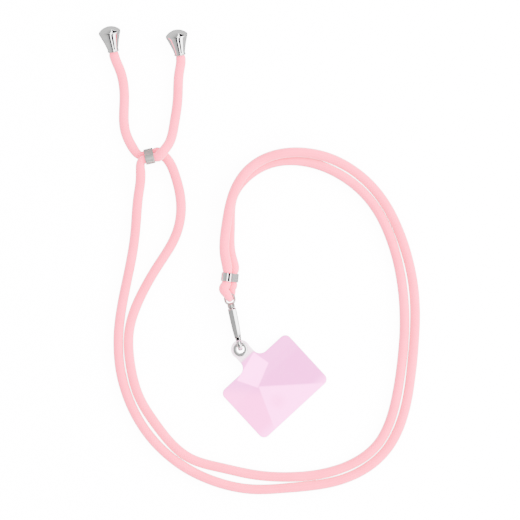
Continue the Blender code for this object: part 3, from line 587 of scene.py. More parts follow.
braid, group_in, group_out = new_group(
    "braid",
    [("UV", VECTOR, None), ("Bundles", FLOAT, 10.0), ("Pitch", FLOAT, 3.4), ("Threads", FLOAT, 3.0)],
    [("Height", FLOAT), ("Valley", FLOAT)],
)
split = add_node(braid, "ShaderNodeSeparateXYZ", {0: group_in.outputs["UV"]})
turns = math_node(braid, "MULTIPLY", split.outputs[0], group_in.outputs["Bundles"])
travel = math_node(braid, "MULTIPLY", split.outputs[1], group_in.outputs["Pitch"])
right_hand = math_node(braid, "ADD", turns, travel)
left_hand = math_node(braid, "SUBTRACT", turns, travel)
heights = []
for count in (right_hand, left_hand):
    part = math_node(braid, "FRACT", count)
    bundle = math_node(braid, "SINE", math_node(braid, "MULTIPLY", part, math.pi))
    thread_turn = math_node(braid, "MULTIPLY", part, group_in.outputs["Threads"])
    thread = math_node(braid, "MULTIPLY", math_node(braid, "FRACT", thread_turn), math.pi)
    thread = math_node(braid, "SINE", thread)
    heights.append(math_node(braid, "MULTIPLY_ADD", thread, 0.25, bundle))
parity = math_node(
    braid, "ADD", math_node(braid, "FLOOR", right_hand), math_node(braid, "FLOOR", left_hand)
)
on_top = math_node(braid, "FRACT", math_node(braid, "MULTIPLY", parity, 0.5))
on_top = math_node(braid, "GREATER_THAN", on_top, 0.25)
height = mix_value(braid, on_top, heights[0], heights[1])
braid.links.new(height, group_out.inputs["Height"])
braid.links.new(ramp(braid, height, 0.05, 0.75, 1.0, 0.0), group_out.inputs["Valley"])
print("braid group:", len(braid.nodes), "nodes")

# %% [markdown]
# ## Handling marks
# Polished metal and glossy plastic are never quite even: faint smudges dull them in patches and
# hairline scratches catch the light. One group serves both, with its own strength in each.

# %% Handling marks group
marks, group_in, group_out = new_group(
    "handling_marks",
    [("Point", VECTOR, None), ("Smudge Scale", FLOAT, 220.0), ("Scratch Scale", FLOAT, 900.0)],
    [("Smudge", FLOAT), ("Scratch", FLOAT)],
)
smudge = add_node(
    marks, "ShaderNodeTexNoise",
    {"Vector": group_in.outputs["Point"], "Scale": group_in.outputs["Smudge Scale"], "Detail": 3.0},
)
stretch = add_node(
    marks, "ShaderNodeMapping", {"Vector": group_in.outputs["Point"], "Scale": (1.0, 0.06, 0.4)}
)
scratch = add_node(
    marks, "ShaderNodeTexNoise",
    {"Vector": stretch.outputs[0], "Scale": group_in.outputs["Scratch Scale"], "Detail": 2.0},
)
marks.links.new(ramp(marks, smudge.outputs[0], 0.42, 0.68), group_out.inputs["Smudge"])
marks.links.new(ramp(marks, scratch.outputs[0], 0.60, 0.72), group_out.inputs["Scratch"])
print("handling marks group:", len(marks.nodes), "nodes")

# %% [markdown]
# ## The cord's finish
# The cord is dyed polyester yarn. Its colour drifts slowly from place to place, as dye does, and is
# darkened a little between the bundles as painted shade. A Bump node turns the braid's height and a
# fine fuzz into shading, which is enough for relief this shallow, and a little sheen softens the rim
# of the cord.

# %% Cord material
# The darker colour is painted shade in the braid's valleys, and also the slow drift of the dye
CORD_PINK = (0.800, 0.044, 0.130, 1.0)
CORD_DYE_DRIFT_AND_VALLEY_SHADE = (0.600, 0.019, 0.063, 1.0)

cord_finish, tree, shader = new_material("braided_polyester")
uv_map = add_node(tree, "ShaderNodeUVMap", uv_map="along_cord")
weave = add_node(tree, "ShaderNodeGroup", node_tree=braid)
tree.links.new(uv_map.outputs[0], weave.inputs["UV"])
object_point = add_node(tree, "ShaderNodeTexCoord").outputs["Object"]
dye = add_node(tree, "ShaderNodeTexNoise", {"Vector": object_point, "Scale": 60.0, "Detail": 4.0})
dye_share = ramp(tree, dye.outputs[0], 0.3, 0.7, 0.0, 0.25)
# Painted shade: the colour darkens in the braid's valleys, where the real braid lies in shade
dye_and_valley_shade = math_node(tree, "MULTIPLY", weave.outputs["Valley"], 0.45)
dye_and_valley_shade = math_node(tree, "ADD", dye_and_valley_shade, dye_share)
fuzz = add_node(tree, "ShaderNodeTexNoise", {"Vector": object_point, "Scale": 3800.0, "Detail": 2.0})
relief = math_node(tree, "MULTIPLY_ADD", fuzz.outputs[0], 0.35, weave.outputs["Height"])
bump = add_node(tree, "ShaderNodeBump", {"Strength": 0.55, "Distance": 0.00022, "Height": relief})
tree.links.new(mix_colour(tree, dye_and_valley_shade, CORD_PINK, CORD_DYE_DRIFT_AND_VALLEY_SHADE), shader.inputs["Base Color"])
tree.links.new(ramp(tree, fuzz.outputs[0], 0.3, 0.7, 0.72, 0.88), shader.inputs["Roughness"])
tree.links.new(bump.outputs[0], shader.inputs["Normal"])
shader.inputs["Sheen Weight"].default_value = 0.5
shader.inputs["Sheen Roughness"].default_value = 0.45
shader.inputs["Specular IOR Level"].default_value = 0.35
print("cord material:", len(tree.nodes), "nodes")

# %% [markdown]
# ## Two kinds of chrome
# The fittings are plated metal. Most are polished like a mirror, while the slider and the swivel eye
# are duller, as castings often are. One function makes both: the handling marks darken the colour
# and roughen the surface, and only the two colours and the base roughness differ.

# %% Chrome materials
CHROME = (0.88, 0.88, 0.87, 1.0)
CHROME_DULLED = (0.74, 0.74, 0.73, 1.0)
SATIN = (0.50, 0.50, 0.47, 1.0)
SATIN_DULLED = (0.40, 0.41, 0.38, 1.0)


def metal_finish(name, clean, dull, roughness):
    """A metal whose colour and roughness change where it has been handled."""
    material, tree, shader = new_material(name)
    object_point = add_node(tree, "ShaderNodeTexCoord").outputs["Object"]
    handled = add_node(tree, "ShaderNodeGroup", node_tree=marks)
    tree.links.new(object_point, handled.inputs["Point"])
    dulled = math_node(tree, "MULTIPLY", handled.outputs["Smudge"], 0.5)
    rough = math_node(tree, "MULTIPLY_ADD", handled.outputs["Smudge"], 0.05, roughness)
    rough = math_node(tree, "MULTIPLY_ADD", handled.outputs["Scratch"], 0.06, rough)
    scratch_bump = add_node(
        tree, "ShaderNodeBump",
        {"Strength": 0.04, "Distance": 0.00002, "Height": handled.outputs["Scratch"]},
    )
    tree.links.new(mix_colour(tree, dulled, clean, dull), shader.inputs["Base Color"])
    tree.links.new(rough, shader.inputs["Roughness"])
    tree.links.new(scratch_bump.outputs[0], shader.inputs["Normal"])
    shader.inputs["Metallic"].default_value = 1.0
    return material


chrome = metal_finish("polished_chrome", CHROME, CHROME_DULLED, 0.03)
satin = metal_finish("satin_chrome", SATIN, SATIN_DULLED, 0.30)
print("metals:", chrome.name, "and", satin.name)

# %% [markdown]
# ## The cord becomes a piece
# The braided surface stands for the plain tube: it rides on the strap's body, and the tube is
# hidden.

# %% Cord piece
cord_mesh.materials.append(cord_finish)
cord = new_object("cord_braided", cord_mesh)
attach(cord, "strap")
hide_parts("cord")


# %% [markdown]
# ## Polished pieces
# All the fittings are dressed the same way: a fine metal piece takes the place of the faceted solid
# and rides on the same body.

# %% Dress one node
def dress(name, node, body, grids, frame_axes, material=chrome, smooth_angle=40):
    """Make a piece from local grids and let it stand for the node."""
    points, faces = stack_grids(grids)
    piece = new_piece(name, place(points, *frame_axes), faces, material, smooth_angle)
    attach(piece, body)
    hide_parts(node)
    return piece


# %% [markdown]
# ## End caps
# A cap is a spun bell: a shallow dome, a soft rim, a flared side that is very slightly hollow, and a
# rolled lip at the mouth where the cord goes in. It is a turned profile.

# %% Cap profile
RIM_ROUND = 1.6 * MM
FLARE_HOLLOW = 0.25 * MM
LIP_ROUND = 0.45 * MM
LIP_TOP = 1.2 * MM
WAIST_RADIUS = Cap.mouth_radius - 0.2 * MM
LIP_MIDDLE_RADIUS = Cap.mouth_radius - 0.25 * MM


def cap_profile():
    """Radius and height from the dome's top to the socket's bottom. The dome and the rim are arcs
    that meet without a corner; the side is a straight flare less a small sine, so that it is hollow
    in its middle; the lip is a rolled bead."""
    dome_radius = (CAP_RIM_RADIUS ** 2 + CAP_DOME ** 2) / (2 * CAP_DOME)
    dome_middle = CAP_BODY + CAP_DOME - dome_radius
    inner = dome_radius - RIM_ROUND
    meet = math.acos((CAP_RIM_RADIUS - RIM_ROUND) / inner)
    dome = arc((0.0, dome_middle), dome_radius, 90, math.degrees(meet), 14)
    dome[0, 0] = 0.0
    rim_middle = (CAP_RIM_RADIUS - RIM_ROUND, dome_middle + inner * math.sin(meet))
    rim = arc(rim_middle, RIM_ROUND, math.degrees(meet), -15, 12)[1:]
    share = np.linspace(0.0, 1.0, 15)[1:-1]
    radius = rim[-1, 0] + (WAIST_RADIUS - rim[-1, 0]) * share
    radius -= FLARE_HOLLOW * np.sin(math.pi * share)
    height = rim[-1, 1] + (LIP_TOP - rim[-1, 1]) * share
    side = np.stack([radius, height], axis=1)
    lip = arc((LIP_MIDDLE_RADIUS, LIP_ROUND), LIP_ROUND, 70, -90, 10)
    bore = CORD_GRIPPED / 2 + CLEARANCE
    socket = np.array([(bore, 0.1 * MM), (bore, CAP_SOCKET), (0.0, CAP_SOCKET)])
    return np.vstack([dome, rim, side, lip, socket])


for side_name, cap in (("left", left_cap), ("right", right_cap)):
    cap_axes = (cap.mouth, -np.cross(cap.axis, cap.side), -cap.side, cap.axis)
    dress(
        f"cap_{side_name}_polished", f"end_cap_{side_name}", "strap",
        [(turned(cap_profile()), False, True)], cap_axes,
    )

# %% [markdown]
# ## Slider and ferrule
# Both are bands bent round two strands: straight sides between two half circles. A small section
# with rounded edges is carried round that outline. The ferrule is the plain band that is crimped
# over the fold, the slider the one that the strands can be pulled through.

# %% Bands
BAND_EDGE = 0.28 * MM
RUN_SHARES = np.array([0.92, 0.5, 0.0, -0.5, -0.92])


def band_grid(band):
    """Rows go round the outline, columns round the wall's section. A point is the outline's point
    plus the section's outward part along the outline's normal and its other part along the cord.
    Flat runs have extra points close to their ends, so that smooth shading keeps them flat."""
    half = band.spacing / 2
    quarter = np.linspace(-90, 90, 25)
    run = half * RUN_SHARES
    inner_points, turn_points = len(run), len(quarter)
    angle = np.radians(np.concatenate([
        quarter, np.full(inner_points, 90.0), quarter + 180, np.full(inner_points, 270.0)
    ]))
    side = np.concatenate([np.full(turn_points, half), run, np.full(turn_points, -half), -run])
    normal = np.stack([np.cos(angle), np.sin(angle)], axis=1)
    length = band.length / 2
    edge = BAND_EDGE
    run = (length - edge) * RUN_SHARES
    section = np.vstack([
        arc((edge, length - edge), edge, 90, 180, 5),
        np.stack([np.zeros(inner_points), run], axis=1),
        arc((edge, edge - length), edge, 180, 270, 5),
        arc((RING_WALL - edge, edge - length), edge, 270, 360, 5),
        np.stack([np.full(inner_points, RING_WALL), -run], axis=1),
        arc((RING_WALL - edge, length - edge), edge, 0, 90, 5),
    ])
    out = band.inner + section[:, 0]
    x = side[:, None] + normal[:, 0][:, None] * out[None, :]
    y = normal[:, 1][:, None] * out[None, :]
    z = np.broadcast_to(section[:, 1][None, :], x.shape)
    return np.stack([x, y, z], axis=-1)


for name, band, finish in (("slider", slider, satin), ("ferrule", ferrule, chrome)):
    band_axes = (band.centre, band.across, band.face, band.along)
    dress(
        f"{name}_polished", name, "strap", [(band_grid(band), True, True)], band_axes,
        material=finish,
    )

# %% [markdown]
# ## Swivel eye
# A wire loop on a turned pin. The pin passes through the hook's collar and ends in a head, so the
# hook can turn. The wire is a circle carried round an oval; the neck is a turned profile.


# %% Swivel eye
EYE_SQUARENESS = 0.8
SHOULDER_ROUND_FRONT = 0.7 * MM
SHOULDER_ROUND_BACK = 0.3 * MM
PIN_HEAD_ROUND = 0.5 * MM


def wire_loop(centre, half_length, half_width, radius, steps=84, sides=20):
    """A circle carried round a squared oval. The oval is cosine and sine to a power just below one,
    keeping their signs; its normal is at right angles to the line between a point's neighbours."""
    a = np.linspace(0.0, 2 * math.pi, steps, endpoint=False)
    b = np.linspace(0.0, 2 * math.pi, sides, endpoint=False)[None, :]
    oval = np.stack([np.cos(a), np.sin(a)], axis=1)
    oval = np.sign(oval) * np.abs(oval) ** EYE_SQUARENESS * (half_length, half_width)
    step = np.roll(oval, -1, axis=0) - np.roll(oval, 1, axis=0)
    normal = np.stack([step[:, 1], -step[:, 0]], axis=1) / np.linalg.norm(step, axis=1)[:, None]
    x = centre + oval[:, :1] + radius * np.cos(b) * normal[:, :1]
    y = oval[:, 1:] + radius * np.cos(b) * normal[:, 1:]
    z = np.broadcast_to(radius * np.sin(b), x.shape)
    return np.stack([x, y, z], axis=-1)


def on_hook_axis(grid):
    """Lay a turned shape's Z along the hook's X."""
    return grid[..., [2, 0, 1]]


eye_half_width = (CORD_IN_EYE + 2 * CLEARANCE + EYE_WIRE) / 2
wire_end = -NECK_LENGTH - EYE_WIRE / 2
pin_end = COLLAR_LENGTH + CLEARANCE


def rounded_corner(corner, radius, start, end, steps):
    """An arc inside a profile's corner at (radius, height): it starts and ends at these angles."""
    up = 1 if start < 0 else -1
    return arc((corner[0] - radius, corner[1] + up * radius), radius, start, end, steps)


pin_profile = np.vstack([
    [(0.0, wire_end)],
    rounded_corner((SHOULDER_RADIUS, wire_end), SHOULDER_ROUND_FRONT, -90, 0, 6),
    rounded_corner((SHOULDER_RADIUS, -CLEARANCE), SHOULDER_ROUND_BACK, 0, 90, 4),
    [(PIN_RADIUS, -CLEARANCE), (PIN_RADIUS, pin_end), (PIN_HEAD_RADIUS, pin_end)],
    rounded_corner((PIN_HEAD_RADIUS, pin_end + PIN_HEAD_LENGTH), PIN_HEAD_ROUND, 0, 90, 4),
    [(0.0, pin_end + PIN_HEAD_LENGTH)],
])
eye_loop = wire_loop(eye_centre, (EYE_LENGTH - EYE_WIRE) / 2, eye_half_width, EYE_WIRE / 2)
eye_pin = on_hook_axis(turned(pin_profile, 48))
dress(
    "swivel_eye_polished", "swivel_eye", "strap",
    [(eye_loop, True, True), (eye_pin, False, True)], hook_frame, material=satin,
)

# %% [markdown]
# ## Hook
# The hook is cast: a spine that leaves the collar, runs straight, swings round the bow and comes
# back as a short nose. Its section is an oval that is wider than it is high and narrows towards the
# bow. One thick ear on the collar carries the gate's pivot, a pin that is rounded over at both ends.

# %% Hook body
bow_radius = (HOOK_GAP + HOOK_BAR) / 2
bow_centre = HOOK_LENGTH - HOOK_BAR / 2 - bow_radius
pivot_height = HOOK_GAP / 2 + HOOK_BAR - PIVOT_DEPTH


def hook_width(reach):
    """The hook's width across: nearly even from the collar on, then narrower towards the bow, by
    the third power of the way along."""
    share = np.clip((reach - COLLAR_LENGTH) / (bow_centre - COLLAR_LENGTH), 0.0, 1.0)
    return HOOK_WIDTH + (HOOK_WIDTH_AT_BOW - HOOK_WIDTH) * share ** TAPER_POWER


def bar_section(sides=28, fullness=2.6):
    """A rounded oval: cosine and sine raised to 2 / fullness, keeping their signs."""
    b = np.linspace(0.0, 2 * math.pi, sides, endpoint=False)
    c, s = np.cos(b), np.sin(b)
    power = 2 / fullness
    return np.stack([np.sign(c) * np.abs(c) ** power, np.sign(s) * np.abs(s) ** power], axis=1)


def bar_along(path, half_width, half_height):
    """Carry the bar's section along a path in the hook's upright plane: the section's height goes
    along the path's normal and its width across it."""
    step = np.gradient(path, axis=0)
    step /= np.linalg.norm(step, axis=1)[:, None]
    normal = np.stack([-step[:, 1], step[:, 0]], axis=1)
    section = bar_section()
    rise = section[None, :, 1] * half_height[:, None]
    x = path[:, 0][:, None] + normal[:, 0][:, None] * rise
    z = path[:, 1][:, None] + normal[:, 1][:, None] * rise
    y = section[None, :, 0] * half_width[:, None]
    return np.stack([x, y, z], axis=-1)


TIP_ROUND = 0.35 * MM
TIP_SHARE = 0.72
SPINE_ROOT_SHARES = np.array([(0.42, -0.38), (1.0, -0.72), (1.73, -0.95), (2.7, -1.0)])
spine = SPINE_ROOT_SHARES * (COLLAR_LENGTH, bow_radius)
spine_middle = ((spine[-1, 0] + bow_centre) / 2, -bow_radius)
spine_curve, _, _ = natural_spline(np.vstack([spine, [spine_middle]]), 40)


def level_run(reaches, height):
    """Points at these reaches, all at one height."""
    return np.stack([reaches, np.full(len(reaches), height)], axis=1)


straight = level_run(np.linspace(spine_middle[0], bow_centre, 8)[1:-1], -bow_radius)
bow = arc((bow_centre, 0.0), bow_radius, -90, 90, 36)
nose = level_run(np.linspace(bow_centre, NOSE_TIP, 5)[1:-1], bow_radius)
tip_turn = np.linspace(0.0, math.pi / 2, 6)
tip = level_run(NOSE_TIP + TIP_ROUND * (1 - np.sin(tip_turn)), bow_radius)
hook_path = np.vstack([spine_curve, straight, bow, nose, tip])
tip_share = np.ones(len(hook_path))
tip_share[-len(tip):] = TIP_SHARE + (1 - TIP_SHARE) * np.cos(tip_turn)
hook_half_width = hook_width(hook_path[:, 0]) / 2 * tip_share
hook_half_height = HOOK_BAR / 2 * tip_share
hook_bar = closed(bar_along(hook_path, hook_half_width, hook_half_height))

# %% Collar, ear and pivot
COLLAR_EDGE = 0.45 * MM
collar_bore = PIN_RADIUS + CLEARANCE
collar_radius = HOOK_WIDTH / 2
collar_profile = np.vstack([
    rounded_corner((collar_radius, 0.0), COLLAR_EDGE, -90, 0, 6),
    rounded_corner((collar_radius, COLLAR_LENGTH), COLLAR_EDGE, 0, 90, 6),
    [(collar_bore, COLLAR_LENGTH), (collar_bore, 0.0)],
])
collar = on_hook_axis(turned(collar_profile, 64))


def plate(outline, thickness, middle, edge=0.15 * MM):
    """A flat plate with rounded edges: the outline shrinks by an arc towards both faces. Rows run
    through the thickness, columns round the outline, and both faces close on their middle."""
    centre = outline.mean(axis=0)
    out = outline - centre
    reach = np.linalg.norm(out, axis=1).mean()
    a = np.radians(np.linspace(0, 90, 5))
    rising, falling = edge * (1 - np.cos(a)), edge * (1 - np.sin(a))
    half = thickness / 2
    shrink = np.concatenate([[0.0], 1 - falling / reach, 1 - rising / reach, [0.0]])
    depth = np.concatenate([[-half], rising - half, half - falling, [half]])
    flat = centre + out[None, :, :] * shrink[:, None, None]
    y = np.broadcast_to((middle + depth)[:, None], flat.shape[:2])
    return np.stack([flat[..., 0], y, flat[..., 1]], axis=-1)


ear_low = np.array([COLLAR_LENGTH / 2, HOOK_WIDTH / 2 - EAR_FOOT_RADIUS])
ear_high = np.array([PIVOT_REACH, pivot_height])
lean = math.degrees(math.atan2(*(ear_high - ear_low)[::-1]))
ear_outline = np.vstack([
    arc(ear_high, EAR_RADIUS, lean - 90, lean + 90, 20),
    arc(ear_low, EAR_FOOT_RADIUS, lean + 90, lean + 270, 12),
])
PIVOT_RADIUS = 0.6 * MM
RIVET_ROUND = 0.25 * MM
pivot_half = hook_width(PIVOT_REACH) / 2
pivot_profile = np.vstack([
    [(0.0, -pivot_half)],
    rounded_corner((PIVOT_RADIUS, -pivot_half), RIVET_ROUND, -90, 0, 5),
    rounded_corner((PIVOT_RADIUS, pivot_half), RIVET_ROUND, 0, 90, 5),
    [(0.0, pivot_half)],
])
pivot_place = np.array([PIVOT_REACH, 0.0, pivot_height])
pivot = turned(pivot_profile, 32)[..., [0, 2, 1]] + pivot_place
hook_grids = [
    (hook_bar, False, True), (collar, True, True),
    (plate(ear_outline, EAR_THICKNESS, 0.0), False, True), (pivot, False, True),
]
dress("hook_body_polished", "hook_body", "hook", hook_grids, hook_frame)

# %% [markdown]
# ## Gate
# The gate is a sprung lever. Its hub and tail straddle the ear, so that from above it is one bar
# from the collar to its step, and a low tongue passes under the nose. The bar has a soft ridge. It
# is lofted: each row is a closed section with a lower edge, an upper edge and a half width. Where
# the ear stands, the section is an upside-down U whose legs pass on both sides of it.

# %% Gate rows
GATE_SOFT = 0.35 * MM
TONGUE_SLOPE = 0.50 * MM
SLOT_HALF = EAR_THICKNESS / 2 + CLEARANCE
SLOT_TOP = pivot_height + EAR_RADIUS + CLEARANCE
SLOT_END = PIVOT_REACH + EAR_RADIUS + CLEARANCE
gate_bottom = HOOK_GAP / 2
gate_top = HOOK_GAP / 2 + HOOK_BAR
tail_start = PIVOT_REACH - GATE_TAIL_LENGTH
tongue_end = NOSE_TIP - 2 * CLEARANCE
tongue_top = gate_bottom + TONGUE_HEIGHT


def hub_bottom(x):
    """The lower edge: the hub's circle about the pivot, the tail's straight edge before it and the
    bar's after it."""
    offset = x - PIVOT_REACH
    circle = pivot_height - np.sqrt(np.clip(GATE_HUB_RADIUS ** 2 - offset ** 2, 0.0, None))
    straight_edge = np.where(offset < 0, gate_top - GATE_TAIL_HEIGHT, gate_bottom)
    in_hub = np.abs(offset) < GATE_HUB_RADIUS
    return np.where(in_hub, np.minimum(circle, straight_edge), straight_edge)


tail_round = tail_start + GATE_SOFT * (1 - np.cos(np.radians(np.linspace(0, 90, 6))))
hub_rows = PIVOT_REACH - GATE_HUB_RADIUS * np.cos(np.radians(np.linspace(2, 178, 23)))
before_hub = np.linspace(tail_round[-1], hub_rows[0], 6)[1:-1]
under_slot = hub_rows[hub_rows < SLOT_END]
over_ear = np.concatenate([tail_round, before_hub, under_slot, [SLOT_END]])
past_hub = hub_rows[hub_rows > SLOT_END]
to_step = np.linspace(past_hub[-1], GATE_STEP - GATE_SOFT, 12)[1:]
step_round = GATE_STEP - GATE_SOFT + GATE_SOFT * np.sin(np.radians(np.linspace(15, 90, 6)))
solid = np.concatenate([[SLOT_END], past_hub, to_step, step_round])


def round_ends(x):
    """How far the upper edge drops at the tail's end and at the step: a quarter circle at each."""
    at_tail = np.clip((x - tail_start) / GATE_SOFT, 0.0, 1.0)
    at_step = np.clip((GATE_STEP - x) / GATE_SOFT, 0.0, 1.0)
    return GATE_SOFT * (2 - np.sqrt(1 - (1 - at_tail) ** 2) - np.sqrt(1 - (1 - at_step) ** 2))


# %% Gate sections
RIDGE = 0.30 * MM
RIDGE_SHIFT = 0.20
SHOULDER_ROUND = 0.55 * MM
LEAST_HEIGHT = 0.1 * MM
LOWER_EDGE = 0.2 * MM
LOWER_POINTS = (0.5, 0.2, -0.2, -0.5)


def top_line(half, steps=9):
    """Half of the upper outline from the ridge to the side: a slope that falls by RIDGE, then a
    quarter circle. Returned as shares of the half width and drops in metres."""
    slope = np.linspace(0.0, 1.0, steps)[:, None] * (1 - SHOULDER_ROUND / half, RIDGE)
    a = np.radians(np.linspace(90, 0, 7))[1:]
    corner = np.stack([
        1 - SHOULDER_ROUND / half * (1 - np.cos(a)), RIDGE + SHOULDER_ROUND * (1 - np.sin(a))
    ], axis=1)
    return np.vstack([slope, corner])


def section_rows(x, low, high, half, legs):
    """One closed section for each x. The upper outline goes from one side over the ridge, which
    stands a little off the middle, to the other; the lower one comes back, straight or, with legs,
    round the slot for the ear."""
    outline = top_line(HOOK_WIDTH / 2)
    over = np.vstack([outline[::-1] * (-1, 1), outline[1:]])
    aside = over[:, 0] + RIDGE_SHIFT * (1 - np.abs(over[:, 0]))
    y = aside[None, :] * half[:, None]
    z = high[:, None] - over[None, :, 1]
    z = np.maximum(z, low[:, None] + LEAST_HEIGHT)
    edge_high = low + LOWER_EDGE
    flat = half - LOWER_EDGE
    if legs:
        inner = np.full(len(x), SLOT_HALF)
        roof = np.minimum(SLOT_TOP, high - LOWER_EDGE)
        back_y = [half, flat, inner, inner, -inner, -inner, -flat, -half]
        back_z = [edge_high, low, low, roof, roof, low, low, edge_high]
    else:
        back_y = [half, flat, *(half * share for share in LOWER_POINTS), -flat, -half]
        back_z = [edge_high, low, low, low, low, low, low, edge_high]
    back_y, back_z = np.stack(back_y, axis=1), np.stack(back_z, axis=1)
    y = np.concatenate([y, back_y], axis=1)
    z = np.concatenate([z, back_z], axis=1)
    return np.stack([np.broadcast_to(x[:, None], y.shape), y, z], axis=-1)


straddle, bar = (
    section_rows(x, hub_bottom(x), gate_top - round_ends(x), hook_width(x) / 2, legs)
    for x, legs in ((over_ear, True), (solid, False))
)
print("gate rows:", len(straddle), "over the ear,", len(bar), "along the bar")

# %% Gate piece
TONGUE_OVERLAP = 0.4 * MM
TONGUE_END_LENGTH = 0.15 * MM
TONGUE_END_DROP = 0.12 * MM
TONGUE_END_SHARE = 0.92
TONGUE_FULLNESS = 6.0

slope_share = np.linspace(0.0, 1.0, 8)
slope_start = GATE_STEP - TONGUE_OVERLAP
slope_end = tongue_end - TONGUE_END_LENGTH
tongue_x = np.append(slope_start + (slope_end - slope_start) * slope_share, tongue_end)
tongue_rise = np.append(TONGUE_SLOPE * slope_share, TONGUE_SLOPE + TONGUE_END_DROP)
tongue_half = np.append(np.ones(len(slope_share)), TONGUE_END_SHARE) * TONGUE_WIDTH / 2
tongue_section = bar_section(28, TONGUE_FULLNESS)
tongue_low = gate_bottom + np.append(np.zeros(len(slope_share)), TONGUE_END_DROP)
tongue_high = tongue_top - tongue_rise
tongue_y = tongue_section[None, :, 0] * tongue_half[:, None]
tongue_z = (
    (tongue_low + tongue_high)[:, None] / 2
    + tongue_section[None, :, 1] * (tongue_high - tongue_low)[:, None] / 2
)
tongue = np.stack([np.broadcast_to(tongue_x[:, None], tongue_y.shape), tongue_y, tongue_z], axis=-1)
dress(
    "hook_gate_polished", "hook_gate", "gate",
    [(np.concatenate([straddle, bar]), False, True), (closed(tongue), False, True)], hook_frame,
    smooth_angle=32,
)

# %% [markdown]
# ## Eyelet
# A rolled metal eyelet lines the patch's hole. Its wall is a short tube whose ends are rolled out
# over both faces, so it is one closed turned section.

# %% Eyelet
FLANGE = 0.5 * MM
TUBE_WALL = 0.5 * MM
FLANGE_PRESSED = 0.05 * MM
slot_half = PATCH_THICKNESS / 2 + CLEARANCE - FLANGE_PRESSED
roll = FLANGE * 0.5
tube_radius = EYELET_HOLE_RADIUS + TUBE_WALL
eyelet_profile = np.vstack([
    arc((EYELET_HOLE_RADIUS + 2 * roll, slot_half + FLANGE - 2 * roll), 2 * roll, 180, 90, 8),
    arc((EYELET_RADIUS - roll, slot_half + FLANGE - roll), roll, 90, -90, 8),
    [(tube_radius, slot_half), (tube_radius, -slot_half)],
    arc((EYELET_RADIUS - roll, roll - slot_half - FLANGE), roll, 90, -90, 8),
    arc((EYELET_HOLE_RADIUS + 2 * roll, 2 * roll - slot_half - FLANGE), 2 * roll, 270, 180, 8),
])
world_axes = (np.array([1.0, 0.0, 0.0]), np.array([0.0, 1.0, 0.0]), UP)
dress(
    "eyelet_polished", "eyelet", "hook",
    [(turned(eyelet_profile, 72), True, True)], (eyelet_centre, *world_axes),
)

# %% [markdown]
# ## Patch
# The patch is cut from soft clear plastic sheet. Its outline is straight lines and arcs; its edge is
# slightly rounded; near the tab it bends up where the hook passes underneath. The flat faces need
# inner points so that they can bend: a triangulation fills the outline with a grid of them.

# %% Patch outline
LIFT_END = EYELET_REACH - EYELET_RADIUS - 2 * CLEARANCE
HOLE_RADIUS = tube_radius + CLEARANCE
EDGE_ROUND = 0.35 * MM
FACE_SPACING = 1.3 * MM
FACE_MARGIN = 0.5 * MM
HOLE_STEPS = 40
HOLE_TOLERANCE = 0.999


def straight_run(start, end, spacing=1.5 * MM):
    """Points between two corners, the corners left out."""
    start, end = np.asarray(start), np.asarray(end)
    count = max(2, int(np.linalg.norm(end - start) / spacing))
    share = np.linspace(0.0, 1.0, count + 1)[1:-1, None]
    return start + (end - start) * share


def patch_outline():
    """The edge, anticlockwise: corner arcs, straight sides, two fillets and the tab's round end."""
    half_l, half_w, corner = PATCH_LENGTH / 2, PATCH_WIDTH / 2, PATCH_CORNER
    spread = math.degrees(math.asin(NECK_HALF / TAB_RADIUS))
    arcs = [
        arc((half_l - corner, corner - half_w), corner, -90, 0, 10),
        arc((half_l - corner, half_w - corner), corner, 0, 90, 10),
        arc((NECK_HALF + NECK_FILLET, half_w + NECK_FILLET), NECK_FILLET, 270, 180, 12),
        arc((0.0, EYELET_REACH), TAB_RADIUS, spread - 90, 270 - spread, 40),
        arc((-NECK_HALF - NECK_FILLET, half_w + NECK_FILLET), NECK_FILLET, 0, -90, 12),
        arc((corner - half_l, half_w - corner), corner, 90, 180, 10),
        arc((corner - half_l, corner - half_w), corner, 180, 270, 10),
    ]
    pieces = []
    for this, following in zip(arcs, arcs[1:] + arcs[:1]):
        pieces += [this, straight_run(this[-1], following[0])]
    return np.vstack(pieces)


def inside(points, outline):
    """Which points lie inside: a ray to the right crosses the outline an odd number of times."""
    x, y = points[:, 0][:, None], points[:, 1][:, None]
    a, b = outline, np.roll(outline, -1, axis=0)
    crosses = (a[:, 1] > y) != (b[:, 1] > y)
    with np.errstate(divide="ignore", invalid="ignore"):
        meet = (b[:, 0] - a[:, 0]) * (y - a[:, 1]) / (b[:, 1] - a[:, 1]) + a[:, 0]
    return (crosses & (x < meet)).sum(axis=1) % 2 == 1


def inset(outline, distance):
    """Move each point inward, at right angles to the line between its neighbours."""
    step = np.roll(outline, -1, axis=0) - np.roll(outline, 1, axis=0)
    step /= np.linalg.norm(step, axis=1)[:, None]
    return outline + np.stack([-step[:, 1], step[:, 0]], axis=1) * distance


# %% Patch surface
def patch_lift(points):
    """How far the sheet has risen: flat, then a smooth slope near the tab, three squares less two
    cubes of the way along it, then flat again."""
    share = np.clip((points[:, 1] - LIFT_START) / (LIFT_END - LIFT_START), 0.0, 1.0)
    return TAB_LIFT * share * share * (3 - 2 * share)


outline = patch_outline()
rim_in = inset(outline, EDGE_ROUND)
hole = arc((0.0, EYELET_REACH), HOLE_RADIUS, 0, 360, HOLE_STEPS)[:-1]
grid_x, grid_y = np.meshgrid(
    np.arange(-PATCH_LENGTH / 2, PATCH_LENGTH / 2, FACE_SPACING),
    np.arange(-PATCH_WIDTH / 2, EYELET_REACH + TAB_RADIUS, FACE_SPACING),
)


def from_hole(points):
    """How far points are from the hole's middle."""
    return np.linalg.norm(points - (0.0, EYELET_REACH), axis=1)


